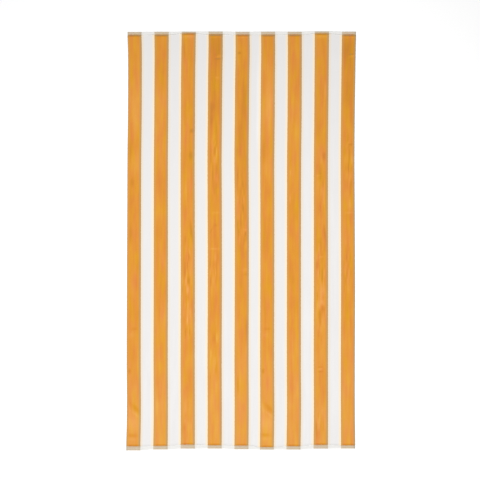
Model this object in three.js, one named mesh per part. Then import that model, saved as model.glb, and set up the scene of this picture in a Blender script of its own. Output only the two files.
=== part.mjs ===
// Beach towel, laid out flat with its cut pile up: one woven length of cotton in orange and white
// stripes that run its whole length, with a turned, flat-woven hem across each end. The pile is cut on
// the front and left in loops on the back, so the cloth is thick, and thinner at the hems.
//
// Units are millimetres. +X runs across the stripes, +Y along them and +Z up. The origin lies on the
// surface that the towel rests on, below the middle of its outline.

import * as THREE from "three";

// ---- Cut size and stripes ----

const WIDTH = 900;
const LENGTH = 1650;
const ORANGE_STRIPES = 9; // the first and last of them are the towel's two side edges
const ORANGE_WIDTH = 54.2;
const MIDDLE_WHITE_WIDTH = 47.5; // the white stripe after the fifth orange one is woven narrower
const MIDDLE_WHITE_AFTER = 5;

// ---- Thicknesses ----

const GROUND = 0.8; // the woven ground that carries the pile
const FRONT_PILE = 1.4;
const BACK_PILE = 1.8;
const HEM_LAYERS = 3; // the bare ground is turned in twice and sewn down
const CLOTH_TOP = BACK_PILE + GROUND + FRONT_PILE;
const HEM_TOP = HEM_LAYERS * GROUND;

// ---- How the edges round off ----
// Distance in from the edge, then the height of the front and of the back there.

const SIDE_EDGE = [
  { inset: 0, front: 1.7, back: 0.9 },
  { inset: 1.2, front: 3.1, back: 0.2 },
  { inset: 4, front: CLOTH_TOP, back: 0 },
];
const END_EDGE = [
  { inset: 0, front: 1.6, back: 0.6 },
  { inset: 1, front: HEM_TOP, back: 0 },
];
// From the line where the pile starts behind the hem
const PILE_EDGE = [
  { inset: 0, front: HEM_TOP },
  { inset: 1, front: 3.6 },
  { inset: 3.5, front: CLOTH_TOP },
];

// ---- How the cloth lies ----
// It is never quite square: its long lines drift to the right or, where negative, to the left. For some
// shares of the length from the near end, the drift is given at the left edge, at each quarter of the
// width and at the right edge.

const DRIFT = [
  { share: 0.0, drifts: [-4.7, -0.2, -0.6, -3.3, 1.7] },
  { share: 0.08, drifts: [-1.4, -0.3, 0.3, -1.0, 0.2] },
  { share: 0.2, drifts: [-2.1, -0.8, -0.2, -1.6, 0.0] },
  { share: 0.4, drifts: [-1.4, -0.2, 1.0, -1.4, 1.0] },
  { share: 0.58, drifts: [-0.1, -0.9, 0.9, -1.0, -0.4] },
  { share: 0.7, drifts: [0.8, -1.0, -0.4, -0.2, -1.3] },
  { share: 0.8, drifts: [2.7, 0.2, 1.2, 1.6, -0.3] },
  { share: 0.89, drifts: [3.4, 0.7, 2.6, 2.1, 1.8] },
  { share: 0.95, drifts: [3.0, 2.1, 4.4, 2.2, 3.3] },
  { share: 1.0, drifts: [0.4, 3.6, 3.7, 1.9, 5.3] },
];

// At each orange stripe, from left to right: how far the end edge stands out past its straight line,
// and how much bare hem shows before the pile leans over it, at the near and at the far end.
const STRIPE_ENDS = [
  { nearOut: 6.2, nearHem: 16.6, farOut: -0.9, farHem: 11.8 },
  { nearOut: 2.5, nearHem: 14.8, farOut: -0.2, farHem: 11.7 },
  { nearOut: -1.0, nearHem: 16.4, farOut: 0.3, farHem: 7.3 },
  { nearOut: -1.2, nearHem: 13.8, farOut: 0.7, farHem: 11.5 },
  { nearOut: 1.7, nearHem: 15.3, farOut: -0.1, farHem: 12.1 },
  { nearOut: 3.1, nearHem: 10.3, farOut: 0.4, farHem: 12.7 },
  { nearOut: 2.7, nearHem: 13.8, farOut: 0.1, farHem: 11.6 },
  { nearOut: -0.9, nearHem: 15.5, farOut: 1.4, farHem: 8.5 },
  { nearOut: -1.4, nearHem: 13.3, farOut: 0.3, farHem: 12.0 },
];
const OUT_FADES_BY = 120; // how far in from an end its outward pull is still felt

// Low soft rises where the cloth was folded or doesn't quite lie down, seen from above: the middle,
// the direction of the crest turned from +X, the size along and across the crest, and the height.
const RISES = [
  { x: -412, y: -672, turn: -47, along: 150, across: 110, height: 1.8 },
  { x: -395, y: -775, turn: 0, along: 160, across: 90, height: 1.2 },
  { x: 104, y: -681, turn: -68, along: 150, across: 110, height: 1.4 },
  { x: 108, y: -775, turn: 4, along: 130, across: 90, height: 1.0 },
  { x: -98, y: 722, turn: 8, along: 140, across: 100, height: 1.3 },
  { x: 415, y: 722, turn: 5, along: 150, across: 100, height: 1.3 },
  { x: 405, y: 104, turn: 2, along: 140, across: 110, height: 1.4 },
  { x: -205, y: -290, turn: 88, along: 300, across: 110, height: 1.2 },
  { x: 322, y: -290, turn: 91, along: 300, across: 110, height: 1.2 },
  { x: -330, y: 250, turn: 62, along: 260, across: 130, height: 1.0 },
];

const ROW_STEP = 52; // longest face along the stripes

// ---- Finish ----

const ORANGE = new THREE.Color(0xe49a3c);
const WHITE = new THREE.Color(0xf0efed);
const HEM_ON_ORANGE = new THREE.Color(0xcfc2ab);
const HEM_ON_WHITE = new THREE.Color(0xe4e3df);

// ---- Stripes across the width ----

/** The stripes in order from the left: where each starts and ends, and whether it is orange. */
function stripesAcross() {
  const otherWhites = ORANGE_STRIPES - 2;
  const whiteWidth = (WIDTH - ORANGE_STRIPES * ORANGE_WIDTH - MIDDLE_WHITE_WIDTH) / otherWhites;
  const stripes = [];
  let start = 0;
  for (let number = 1; number <= ORANGE_STRIPES; number += 1) {
    stripes.push({ start, end: start + ORANGE_WIDTH, orange: true });
    start += ORANGE_WIDTH;
    if (number < ORANGE_STRIPES) {
      const width = number === MIDDLE_WHITE_AFTER ? MIDDLE_WHITE_WIDTH : whiteWidth;
      stripes.push({ start, end: start + width, orange: false });
      start += width;
    }
  }
  return stripes;
}

const STRIPES = stripesAcross();

/** The stripe that a place across the width lies in. */
function stripeAt(across) {
  return STRIPES.find((stripe) => across <= stripe.end) ?? STRIPES.at(-1);
}

/**
 * A value of STRIPE_ENDS at a place across the width: steady over each orange stripe, and easing from
 * one to the next over the white stripe between them.
 */
function endValue(across, name) {
  const index = STRIPES.indexOf(stripeAt(across));
  const left = STRIPE_ENDS[Math.floor(index / 2)][name];
  const right = STRIPE_ENDS[Math.ceil(index / 2)][name];
  const { start, end } = STRIPES[index];
  return THREE.MathUtils.lerp(left, right, THREE.MathUtils.smoothstep(across, start, end));
}

// ---- Shape of the laid cloth ----

const driftCurve = new THREE.CubicInterpolant(
  DRIFT.map(({ share }) => share),
  DRIFT.flatMap(({ drifts }) => drifts),
  DRIFT[0].drifts.length,
);

/** How far a place on the cloth drifts to the right. */
function drift(across, along) {
  const drifts = driftCurve.evaluate(along / LENGTH);
  const place = (across / WIDTH) * (drifts.length - 1);
  const left = Math.min(Math.floor(place), drifts.length - 2);
  return THREE.MathUtils.lerp(drifts[left], drifts[left + 1], place - left);
}

/** How far a place near an end is pulled along the towel, plus towards the far end. */
function pull(across, along) {
  const near = endValue(across, "nearOut") * (1 - THREE.MathUtils.smoothstep(along, 0, OUT_FADES_BY));
  const fromFar = LENGTH - along;
  const far = endValue(across, "farOut") * (1 - THREE.MathUtils.smoothstep(fromFar, 0, OUT_FADES_BY));
  return far - near;
}

/** How far the cloth is lifted off the surface: the sum of the low rises. */
function lift(x, y) {
  let height = 0;
  for (const rise of RISES) {
    const turn = THREE.MathUtils.degToRad(rise.turn);
    const dx = x - rise.x;
    const dy = y - rise.y;
    const along = (dx * Math.cos(turn) + dy * Math.sin(turn)) / rise.along;
    const across = (dy * Math.cos(turn) - dx * Math.sin(turn)) / rise.across;
    const share = Math.min(1, Math.hypot(along, across) * 2);
    height += rise.height * Math.cos((share * Math.PI) / 2) ** 2;
  }
  return height;
}

/** A value of an edge profile at a distance in from the edge. */
function profile(rows, inset, name) {
  const after = rows.findIndex((row) => row.inset >= inset);
  if (after === -1) return rows.at(-1)[name];
  if (after === 0) return rows[0][name];
  const [low, high] = [rows[after - 1], rows[after]];
  const share = (inset - low.inset) / (high.inset - low.inset);
  return THREE.MathUtils.lerp(low[name], high[name], share);
}

/** The front and the back of the cloth at one place, as two points one above the other. */
function clothAt(across, along) {
  const x = across - WIDTH / 2 + drift(across, along);
  const y = along - LENGTH / 2 + pull(across, along);
  const fromSide = Math.min(across, WIDTH - across);
  const nearEnd = along < LENGTH / 2;
  const fromEnd = nearEnd ? along : LENGTH - along;
  const hem = endValue(across, nearEnd ? "nearHem" : "farHem");
  const endFront =
    fromEnd < hem ? profile(END_EDGE, fromEnd, "front") : profile(PILE_EDGE, fromEnd - hem, "front");
  const front = Math.min(profile(SIDE_EDGE, fromSide, "front"), endFront);
  const back = Math.max(profile(SIDE_EDGE, fromSide, "back"), profile(END_EDGE, fromEnd, "back"));
  const up = lift(x, y);
  return {
    front: new THREE.Vector3(x, y, front + up),
    back: new THREE.Vector3(x, y, back + up),
  };
}

// ---- Grid of faces ----

/** Places across the width where faces meet: the edge profile, and each stripe's sides and middle. */
function columns() {
  const places = [];
  for (const { start, end } of STRIPES) {
    places.push(start, (start + end) / 2);
  }
  places.push(WIDTH);
  for (const { inset } of SIDE_EDGE.slice(1)) {
    places.push(inset, WIDTH - inset);
  }
  return places.sort((a, b) => a - b);
}

/** Places along one column where faces meet, which follow the pile's edge behind each hem. */
function rows(across) {
  const nearHem = endValue(across, "nearHem");
  const farHem = endValue(across, "farHem");
  const near = END_EDGE.map(({ inset }) => inset);
  const far = END_EDGE.map(({ inset }) => LENGTH - inset);
  for (const { inset } of PILE_EDGE) {
    near.push(nearHem + inset);
    far.push(LENGTH - farHem - inset);
  }
  const first = near.at(-1);
  const last = far.at(-1);
  const steps = Math.ceil(LENGTH / ROW_STEP);
  const middle = [];
  for (let step = 1; step < steps; step += 1) {
    middle.push(THREE.MathUtils.lerp(first, last, step / steps));
  }
  return [...near, ...middle, ...far.reverse()];
}

/** The colour of the cloth between two columns and two rows of the grid. */
function colourOf(across, row, lastRow) {
  const { orange } = stripeAt(across);
  const hemRows = END_EDGE.length;
  const bare = row < hemRows || row >= lastRow - hemRows;
  if (bare) return orange ? HEM_ON_ORANGE : HEM_ON_WHITE;
  return orange ? ORANGE : WHITE;
}

/** The whole towel as one closed skin: front, back and the rim that joins them. */
function clothGeometry() {
  const columnPlaces = columns();
  const grid = columnPlaces.map((across) => rows(across).map((along) => clothAt(across, along)));
  const lastColumn = grid.length - 1;
  const lastRow = grid[0].length - 1;
  const positions = [];
  const colours = [];

  const quad = (corners, colour) => {
    const [a, b, c, d] = corners;
    for (const corner of [a, b, c, a, c, d]) {
      positions.push(corner.x, corner.y, corner.z);
      colours.push(colour.r, colour.g, colour.b);
    }
  };
  const rim = (from, to, colour) => quad([from.back, to.back, to.front, from.front], colour);

  for (let i = 0; i < lastColumn; i += 1) {
    const across = (columnPlaces[i] + columnPlaces[i + 1]) / 2;
    for (let j = 0; j < lastRow; j += 1) {
      const [a, b, c, d] = [grid[i][j], grid[i + 1][j], grid[i + 1][j + 1], grid[i][j + 1]];
      const colour = colourOf(across, j, lastRow);
      quad([a.front, b.front, c.front, d.front], colour);
      quad([d.back, c.back, b.back, a.back], colour);
    }
    rim(grid[i][0], grid[i + 1][0], colourOf(across, 0, lastRow));
    rim(grid[i + 1][lastRow], grid[i][lastRow], colourOf(across, lastRow, lastRow));
  }
  for (let j = 0; j < lastRow; j += 1) {
    rim(grid[lastColumn][j], grid[lastColumn][j + 1], colourOf(WIDTH, j, lastRow));
    rim(grid[0][j + 1], grid[0][j], colourOf(0, j, lastRow));
  }

  const geometry = new THREE.BufferGeometry();
  geometry.setAttribute("position", new THREE.Float32BufferAttribute(positions, 3));
  geometry.setAttribute("color", new THREE.Float32BufferAttribute(colours, 3));
  return geometry;
}

/** Moves the cloth sideways so that the origin is below the middle of its outline. */
function centre(geometry) {
  geometry.computeBoundingBox();
  const middle = geometry.boundingBox.getCenter(new THREE.Vector3());
  geometry.translate(-middle.x, -middle.y, 0);
  geometry.computeVertexNormals();
  return geometry;
}

// ---- The towel ----

const towel = new THREE.Mesh(
  centre(clothGeometry()),
  new THREE.MeshStandardMaterial({ vertexColors: true, roughness: 0.95, metalness: 0 }),
);
towel.name = "towel";

const beachTowel = new THREE.Group();
beachTowel.name = "beach_towel";
beachTowel.add(towel);

export default beachTowel;
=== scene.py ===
"""A beach towel of striped cotton, laid out flat with its cut pile up, in a plain pale studio.

The cloth is built up as it is made: a woven ground whose two ends are turned in and sewn, a pile
that is cut on the front and left in loops on the back, and the sewing that holds the hems.

Sizes of the cloth are in millimetres, and are turned to metres where a point is placed. A place on
the cloth is named as it was before the towel was laid out: "across" is measured from the left edge,
"along" from the near end, and "height" from the surface that the towel lies on.
"""

import logging
import math
from dataclasses import dataclass, field
from enum import Enum

import bpy
import numpy as np
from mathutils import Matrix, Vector


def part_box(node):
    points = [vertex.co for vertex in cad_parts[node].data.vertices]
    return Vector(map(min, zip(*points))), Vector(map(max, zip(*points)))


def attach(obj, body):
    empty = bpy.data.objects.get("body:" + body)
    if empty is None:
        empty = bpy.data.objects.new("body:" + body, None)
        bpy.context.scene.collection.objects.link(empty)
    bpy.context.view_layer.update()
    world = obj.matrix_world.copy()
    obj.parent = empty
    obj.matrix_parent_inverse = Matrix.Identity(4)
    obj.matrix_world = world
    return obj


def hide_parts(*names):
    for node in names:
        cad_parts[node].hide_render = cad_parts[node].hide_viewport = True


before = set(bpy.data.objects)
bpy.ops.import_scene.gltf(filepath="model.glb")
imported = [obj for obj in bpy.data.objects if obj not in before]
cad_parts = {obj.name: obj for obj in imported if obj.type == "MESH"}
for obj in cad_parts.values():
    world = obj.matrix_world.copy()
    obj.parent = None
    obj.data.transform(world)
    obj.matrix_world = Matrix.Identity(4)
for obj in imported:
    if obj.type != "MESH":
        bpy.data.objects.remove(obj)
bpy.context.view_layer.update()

MM = 0.001
NODE = "towel"
CLOTH_MAP = "cloth"  # each point's place on the flat cloth, which the patterns follow
PRINT_MAP = "OFBake"  # each point's place on the flat sheet that a finish is printed on
SHADE = "shade"  # how much darker each point is painted, paler below 0: mostly painted shade and light

log = logging.getLogger("beach_towel")


# ---------------------------------------------------------------- the cloth and how it lies


class Yarn(Enum):
    """The two colours of pile yarn."""

    ORANGE = "orange"
    WHITE = "white"


@dataclass(frozen=True)
class Stripe:
    """One lengthwise stripe, from start to end across the towel."""

    start: float
    end: float
    yarn: Yarn


@dataclass(frozen=True)
class StripePattern:
    """The stripes across the width: an orange one at each side edge, and one narrower white one."""

    width: float = 900.0
    orange_count: int = 9
    orange_width: float = 54.2
    middle_white_width: float = 47.5
    middle_white_after: int = 5

    def stripes(self) -> list[Stripe]:
        """Works out where each stripe starts and ends.

        Returns:
            The stripes from left to right.
        """
        oranges = self.orange_count * self.orange_width
        white_width = (self.width - oranges - self.middle_white_width) / (self.orange_count - 2)
        found: list[Stripe] = []
        start = 0.0
        for number in range(1, self.orange_count + 1):
            found.append(Stripe(start, start + self.orange_width, Yarn.ORANGE))
            start += self.orange_width
            if number < self.orange_count:
                wide = self.middle_white_width if number == self.middle_white_after else white_width
                found.append(Stripe(start, start + wide, Yarn.WHITE))
                start += wide
        return found

    def columns(self, step: float) -> np.ndarray:
        """Spaces columns evenly over each stripe, so that every border falls on one.

        Args:
            step: the widest that a column may be.

        Returns:
            Places across the width, both side edges among them.
        """
        places = [0.0]
        for stripe in self.stripes():
            count = math.ceil((stripe.end - stripe.start) / step)
            places += list(np.linspace(stripe.start, stripe.end, count + 1)[1:])
        return np.array(places)


@dataclass(frozen=True)
class DriftRow:
    """How far the laid cloth drifts to the right, at one share of its length from the near end.

    Attributes:
        share: the share of the length.
        drifts: the drift at the left edge, at each quarter of the width, and at the right edge.
    """

    share: float
    drifts: tuple[float, float, float, float, float]


@dataclass(frozen=True)
class StripeEnd:
    """The ends of one orange stripe: how far each edge stands out, and the bare hem that shows."""

    near_out: float
    near_hem: float
    far_out: float
    far_hem: float


class EndValue(Enum):
    """The values that StripeEnd gives, by their names there."""

    NEAR_OUT = "near_out"
    NEAR_HEM = "near_hem"
    FAR_OUT = "far_out"
    FAR_HEM = "far_hem"


@dataclass(frozen=True)
class Rise:
    """A low soft oval rise of the cloth.

    Attributes:
        x: its middle, to the right of the towel's own middle.
        y: its middle, from there towards the far end.
        turn: how far its crest is turned from the row of stripes, in degrees.
        along: its whole length, along the crest.
        across: its whole width.
        height: how far the crest stands up.
    """

    x: float
    y: float
    turn: float
    along: float
    across: float
    height: float


DRIFT = (
    DriftRow(0.0, (-4.7, -0.2, -0.6, -3.3, 1.7)),
    DriftRow(0.08, (-1.4, -0.3, 0.3, -1.0, 0.2)),
    DriftRow(0.2, (-2.1, -0.8, -0.2, -1.6, 0.0)),
    DriftRow(0.4, (-1.4, -0.2, 1.0, -1.4, 1.0)),
    DriftRow(0.58, (-0.1, -0.9, 0.9, -1.0, -0.4)),
    DriftRow(0.7, (0.8, -1.0, -0.4, -0.2, -1.3)),
    DriftRow(0.8, (2.7, 0.2, 1.2, 1.6, -0.3)),
    DriftRow(0.89, (3.4, 0.7, 2.6, 2.1, 1.8)),
    DriftRow(0.95, (3.0, 2.1, 4.4, 2.2, 3.3)),
    DriftRow(1.0, (0.4, 3.6, 3.7, 1.9, 5.3)),
)

STRIPE_ENDS = (
    StripeEnd(6.2, 16.6, -0.9, 11.8),
    StripeEnd(2.5, 14.8, -0.2, 11.7),
    StripeEnd(-1.0, 16.4, 0.3, 7.3),
    StripeEnd(-1.2, 13.8, 0.7, 11.5),
    StripeEnd(1.7, 15.3, -0.1, 12.1),
    StripeEnd(3.1, 10.3, 0.4, 12.7),
    StripeEnd(2.7, 13.8, 0.1, 11.6),
    StripeEnd(-0.9, 15.5, 1.4, 8.5),
    StripeEnd(-1.4, 13.3, 0.3, 12.0),
)

RISES = (
    Rise(-412, -672, -47, 150, 110, 1.8),
    Rise(-395, -775, 0, 160, 90, 1.2),
    Rise(104, -681, -68, 150, 110, 1.4),
    Rise(108, -775, 4, 130, 90, 1.0),
    Rise(-98, 722, 8, 140, 100, 1.3),
    Rise(415, 722, 5, 150, 100, 1.3),
    Rise(405, 104, 2, 140, 110, 1.4),
    Rise(-205, -290, 88, 300, 110, 1.2),
    Rise(322, -290, 91, 300, 110, 1.2),
    Rise(-330, 250, 62, 260, 130, 1.0),
)


def eased(share: np.ndarray) -> np.ndarray:
    """Eases shares from 0 to 1, with no corner at either end."""
    share = np.clip(share, 0, 1)
    return share * share * (3 - 2 * share)


def blend(first: np.ndarray, second: np.ndarray, share: np.ndarray) -> np.ndarray:
    """Goes from the first value to the second as the share goes from 0 to 1."""
    return first + (second - first) * share


def curve_through(places: np.ndarray, values: np.ndarray, at: np.ndarray) -> np.ndarray:
    """Reads a smooth curve through some values.

    Args:
        places: where the values are given, in rising order.
        values: the values there.
        at: where the curve is read.

    Returns:
        The curve's values, in the shape of at.
    """
    slopes = np.gradient(values, places)
    low = np.clip(np.searchsorted(places, at) - 1, 0, len(places) - 2)
    step = places[low + 1] - places[low]
    t = (at - places[low]) / step
    rise = eased(t) * (values[low + 1] - values[low])
    bend_out = t * (1 - t) ** 2 * slopes[low]
    bend_in = t**2 * (t - 1) * slopes[low + 1]
    return values[low] + rise + step * (bend_out + bend_in)


def bump_over(
    x: np.ndarray, y: np.ndarray, middle: tuple[float, float], turn: float, size: tuple[float, float]
) -> np.ndarray:
    """Shapes a soft oval bump that is 1 at its middle and 0 at its rim.

    Args:
        x: places to the right.
        y: places towards the far end, from the same point.
        middle: the bump's middle.
        turn: how far its length is turned from the row of stripes, in degrees.
        size: its whole length and width.

    Returns:
        The bump's height at each place.
    """
    angle = math.radians(turn)
    dx, dy = x - middle[0], y - middle[1]
    lengthwise = (dx * math.cos(angle) + dy * math.sin(angle)) / size[0]
    sideways = (dy * math.cos(angle) - dx * math.sin(angle)) / size[1]
    reach = np.minimum(1, 2 * np.hypot(lengthwise, sideways))
    return np.cos(reach * math.pi / 2) ** 2


@dataclass
class LaidCloth:
    """The shape that the cloth lies in: never quite square, and not everywhere down.

    Attributes:
        pattern: the stripes.
        centre: where the middle of the outline lies, in metres.
        length: the finished length.
        out_fades_by: how far in from an end it is still pulled out or drawn in.
        outline_steps: the steps along each edge from which the outline is worked out.
        shift: what moves the outline to its centre, in metres.
    """

    pattern: StripePattern
    centre: tuple[float, float]
    length: float = 1650.0
    out_fades_by: float = 120.0
    outline_steps: int = 400
    shift: tuple[float, float] = field(init=False, default=(0.0, 0.0))

    def __post_init__(self) -> None:
        """Shifts the cloth so that the middle of its outline lies at the given centre."""
        edge = np.linspace(0, 1, self.outline_steps + 1)
        across = np.concatenate([edge, edge, 0 * edge, 0 * edge + 1]) * self.width
        along = np.concatenate([0 * edge, 0 * edge + 1, edge, edge]) * self.length
        outline = self.place(across, along, 0 * across)
        middle = (outline.min(axis=0) + outline.max(axis=0)) / 2
        self.shift = (self.centre[0] - middle[0], self.centre[1] - middle[1])

    @property
    def width(self) -> float:
        """The finished width."""
        return self.pattern.width

    def end_value(self, across: np.ndarray, which: EndValue) -> np.ndarray:
        """Reads a value of STRIPE_ENDS, steady over orange and easing from one to the next over white.

        Args:
            across: places across the width.
            which: the value that is read.

        Returns:
            The value at each place.
        """
        stripes = self.pattern.stripes()
        values = np.array([getattr(end, which.value) for end in STRIPE_ENDS])
        found = np.full_like(across, values[0])
        for number, stripe in enumerate(s for s in stripes if s.yarn is Yarn.WHITE):
            share = eased((across - stripe.start) / (stripe.end - stripe.start))
            found += (values[number + 1] - values[number]) * share
        return found

    def drift(self, across: np.ndarray, along: np.ndarray) -> np.ndarray:
        """Tells how far the cloth drifts to the right at each place.

        Args:
            across: places across the width.
            along: places along the length.

        Returns:
            The drift at each place.
        """
        shares = np.array([row.share for row in DRIFT])
        columns = np.array([row.drifts for row in DRIFT]).T
        lines = [curve_through(shares, column, along / self.length) for column in columns]
        strips = len(lines) - 1
        place = np.clip(across / self.width, 0, 1) * strips
        found = np.zeros_like(place)
        for number, line in enumerate(lines):
            found += line * np.clip(1 - np.abs(place - number), 0, 1)
        return found

    def pull(self, across: np.ndarray, along: np.ndarray) -> np.ndarray:
        """Tells how far the cloth is pulled towards the far end, which only its ends are.

        Args:
            across: places across the width.
            along: places along the length.

        Returns:
            The pull at each place.
        """
        near = self.end_value(across, EndValue.NEAR_OUT) * (1 - eased(along / self.out_fades_by))
        from_far = (self.length - along) / self.out_fades_by
        return self.end_value(across, EndValue.FAR_OUT) * (1 - eased(from_far)) - near

    def lift(self, x: np.ndarray, y: np.ndarray) -> np.ndarray:
        """Tells how far the cloth stands off the surface at each place.

        Args:
            x: places to the right of the towel's own middle.
            y: places from there towards the far end.

        Returns:
            The height at each place.
        """
        height = np.zeros_like(x)
        for rise in RISES:
            size = (rise.along, rise.across)
            height += rise.height * bump_over(x, y, (rise.x, rise.y), rise.turn, size)
        return height

    def spread(self, across: np.ndarray, along: np.ndarray) -> tuple[np.ndarray, np.ndarray]:
        """Turns places on the cloth into places seen from above, from the towel's own middle.

        Args:
            across: places across the width.
            along: places along the length.

        Returns:
            How far each lies to the right and towards the far end.
        """
        x = across - self.width / 2 + self.drift(across, along)
        y = along - self.length / 2 + self.pull(across, along)
        return x, y

    def place(self, across: np.ndarray, along: np.ndarray, height: np.ndarray) -> np.ndarray:
        """Puts points of the cloth where they lie.

        Args:
            across: places across the width, in millimetres.
            along: places along the length, in millimetres.
            height: heights above the surface while the cloth is flat, in millimetres.

        Returns:
            The points, in metres, with x, y and z last.
        """
        across, along, height = np.broadcast_arrays(across, along, height)
        x, y = self.spread(across, along)
        z = height + self.lift(x, y)
        return np.stack([x * MM + self.shift[0], y * MM + self.shift[1], z * MM], axis=-1)


@dataclass(frozen=True)
class Unevenness:
    """Smooth random relief over the cloth, the same on every run.

    Attributes:
        seed: what its random numbers start from.
        cell_across: how far apart its knots stand across the cloth.
        cell_along: how far apart they stand along it.
        margin: how far it goes on before the near and left edges.
        deviation: how far the knots stand from 0, as a standard deviation.
    """

    seed: int
    cell_across: float
    cell_along: float
    margin: float = 40.0
    deviation: float = 0.6

    def at(self, across: np.ndarray, along: np.ndarray) -> np.ndarray:
        """Reads the relief, which averages 0 and is seldom past 1 either way.

        Args:
            across: places across the width.
            along: places along the length.

        Returns:
            The relief at each place.
        """
        u = (across + self.margin) / self.cell_across
        v = (along + self.margin) / self.cell_along
        random = np.random.default_rng(self.seed)
        knots = random.normal(0, self.deviation, (int(u.max()) + 2, int(v.max()) + 2))
        i, j = u.astype(int), v.astype(int)
        du, dv = eased(u - i), eased(v - j)
        near = blend(knots[i, j], knots[i + 1, j], du)
        far = blend(knots[i, j + 1], knots[i + 1, j + 1], du)
        return blend(near, far, dv)


Layers = tuple[tuple[float, Unevenness], ...]  # kinds of unevenness, each with its weight


def layered(layers: Layers, across: np.ndarray, along: np.ndarray) -> np.ndarray:
    """Adds up layers of relief, each times its weight."""
    return sum(weight * layer.at(across, along) for weight, layer in layers)


# ---------------------------------------------------------------- meshes


@dataclass
class Grid:
    """Points of one face of a piece, in columns across the cloth and rows along it.

    Attributes:
        points: where they lie, in metres.
        cloth: their places on the cloth before it was laid, in metres, which the patterns follow.
        sheet: their places on the flat sheet that a finish is printed on, from 0 to 1.
        shade: how much darker each point is painted, from -1 to 1, mostly painted shade and light.
    """

    points: np.ndarray
    cloth: np.ndarray
    sheet: np.ndarray
    shade: np.ndarray

    def numbers(self, first: int) -> np.ndarray:
        """Numbers the points from first, column by column."""
        columns, rows = self.points.shape[:2]
        return first + np.arange(columns * rows).reshape(columns, rows)


def on_cloth(across: np.ndarray, along: np.ndarray) -> np.ndarray:
    """Pairs places on the flat cloth, in millimetres, as map coordinates in metres."""
    return np.stack(np.broadcast_arrays(across, along), axis=-1) * MM


def grid_faces(numbers: np.ndarray) -> np.ndarray:
    """Lists the faces of a grid of numbered points, seen with columns to the right and rows up."""
    corners = [numbers[:-1, :-1], numbers[1:, :-1], numbers[1:, 1:], numbers[:-1, 1:]]
    return np.stack(corners, axis=-1).reshape(-1, 4)


def zip_edges(lower: np.ndarray, upper: np.ndarray, points: np.ndarray) -> list[list[int]]:
    """Joins two edges that run the same way with a strip of triangles.

    Args:
        lower: the numbers of the points along one edge, which lies below as the strip is faced.
        upper: the same for the edge above, which may have another number of points.
        points: all the points.

    Returns:
        The triangles, facing out.
    """

    def progress(edge: np.ndarray) -> np.ndarray:
        """Tells how far along an edge each of its points lies, from 0 to 1."""
        steps = np.linalg.norm(np.diff(points[edge], axis=0), axis=1)
        return np.concatenate([[0], np.cumsum(steps)]) / steps.sum()

    low, high = progress(lower), progress(upper)
    i = j = 0
    faces = []
    while i < len(lower) - 1 or j < len(upper) - 1:
        if j == len(upper) - 1 or (i < len(lower) - 1 and low[i + 1] <= high[j + 1]):
            faces.append([int(lower[i]), int(lower[i + 1]), int(upper[j])])
            i += 1
        else:
            faces.append([int(lower[i]), int(upper[j + 1]), int(upper[j])])
            j += 1
    return faces


def mesh_object(
    name: str,
    points: np.ndarray,
    faces: list[list[int]],
    maps: dict[str, np.ndarray],
    materials: list[bpy.types.Material],
    worn: np.ndarray | None = None,
    shade: np.ndarray | None = None,
) -> bpy.types.Object:
    """Makes a smooth mesh object and puts it in the scene.

    Args:
        name: the piece's name.
        points: its points, in metres.
        faces: its faces, each a list of point numbers.
        maps: a place for each point on each map, by the map's name.
        materials: its material slots.
        worn: the slot that each face wears, or None where all wear the first.
        shade: how much darker each point is painted, or None.

    Returns:
        The object.
    """
    mesh = bpy.data.meshes.new(name)
    mesh.from_pydata(points, [], faces)
    corners = np.empty(len(mesh.loops), np.int32)
    mesh.loops.foreach_get("vertex_index", corners)
    for map_name, places in maps.items():
        layer = mesh.uv_layers.new(name=map_name)
        layer.uv.foreach_set("vector", places[corners].astype(np.float32).ravel())
    if shade is not None:
        values = mesh.attributes.new(SHADE, "FLOAT", "POINT")
        values.data.foreach_set("value", shade.astype(np.float32))
    for material in materials:
        mesh.materials.append(material)
    if worn is not None:
        mesh.polygons.foreach_set("material_index", worn.astype(np.int32))
    mesh.shade_smooth()
    piece = bpy.data.objects.new(name, mesh)
    bpy.context.scene.collection.objects.link(piece)
    return piece


def closed_skin(
    name: str, outer: Grid, inner: Grid, materials: list[bpy.types.Material], inner_wears: int
) -> bpy.types.Object:
    """Closes two faces of a piece of cloth into one skin.

    Args:
        name: the piece's name.
        outer: the face that shows.
        inner: the face behind it, with its columns and rows in the same order.
        materials: what the outer face wears, and what the rims wear.
        inner_wears: which of them the inner face wears.

    Returns:
        The object.
    """
    points = np.concatenate([side.points.reshape(-1, 3) for side in (outer, inner)])
    front = outer.numbers(0)
    behind = inner.numbers(front.size)
    rims = []
    for lower, upper in (
        (behind[:, 0], front[:, 0]),
        (behind[-1, :], front[-1, :]),
        (behind[::-1, -1], front[::-1, -1]),
        (behind[0, ::-1], front[0, ::-1]),
    ):
        rims += zip_edges(lower, upper, points)
    hidden = grid_faces(behind)[:, ::-1].tolist()
    shown = grid_faces(front).tolist()
    worn = np.repeat([1, inner_wears, 0], [len(rims), len(hidden), len(shown)])
    maps = {
        CLOTH_MAP: np.concatenate([side.cloth.reshape(-1, 2) for side in (outer, inner)]),
        PRINT_MAP: np.concatenate([side.sheet.reshape(-1, 2) for side in (outer, inner)]),
    }
    shade = np.concatenate([side.shade.ravel() for side in (outer, inner)])
    return mesh_object(name, points, rims + hidden + shown, maps, materials, worn, shade)


def part_of_towel(piece: bpy.types.Object) -> bpy.types.Object:
    """Makes a piece ride with the towel and stand for its solid.

    Args:
        piece: the piece.

    Returns:
        The same piece.
    """
    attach(piece, "root")
    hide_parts(NODE)
    log.info("%s: %d points, %d faces", piece.name, len(piece.data.vertices), len(piece.data.polygons))
    return piece


# ---------------------------------------------------------------- finishes

# The sockets of a colour mix, by number: the two colours that go in, and the one that comes out
MIX_FIRST, MIX_SECOND, MIX_OUT = 6, 7, 2


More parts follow.
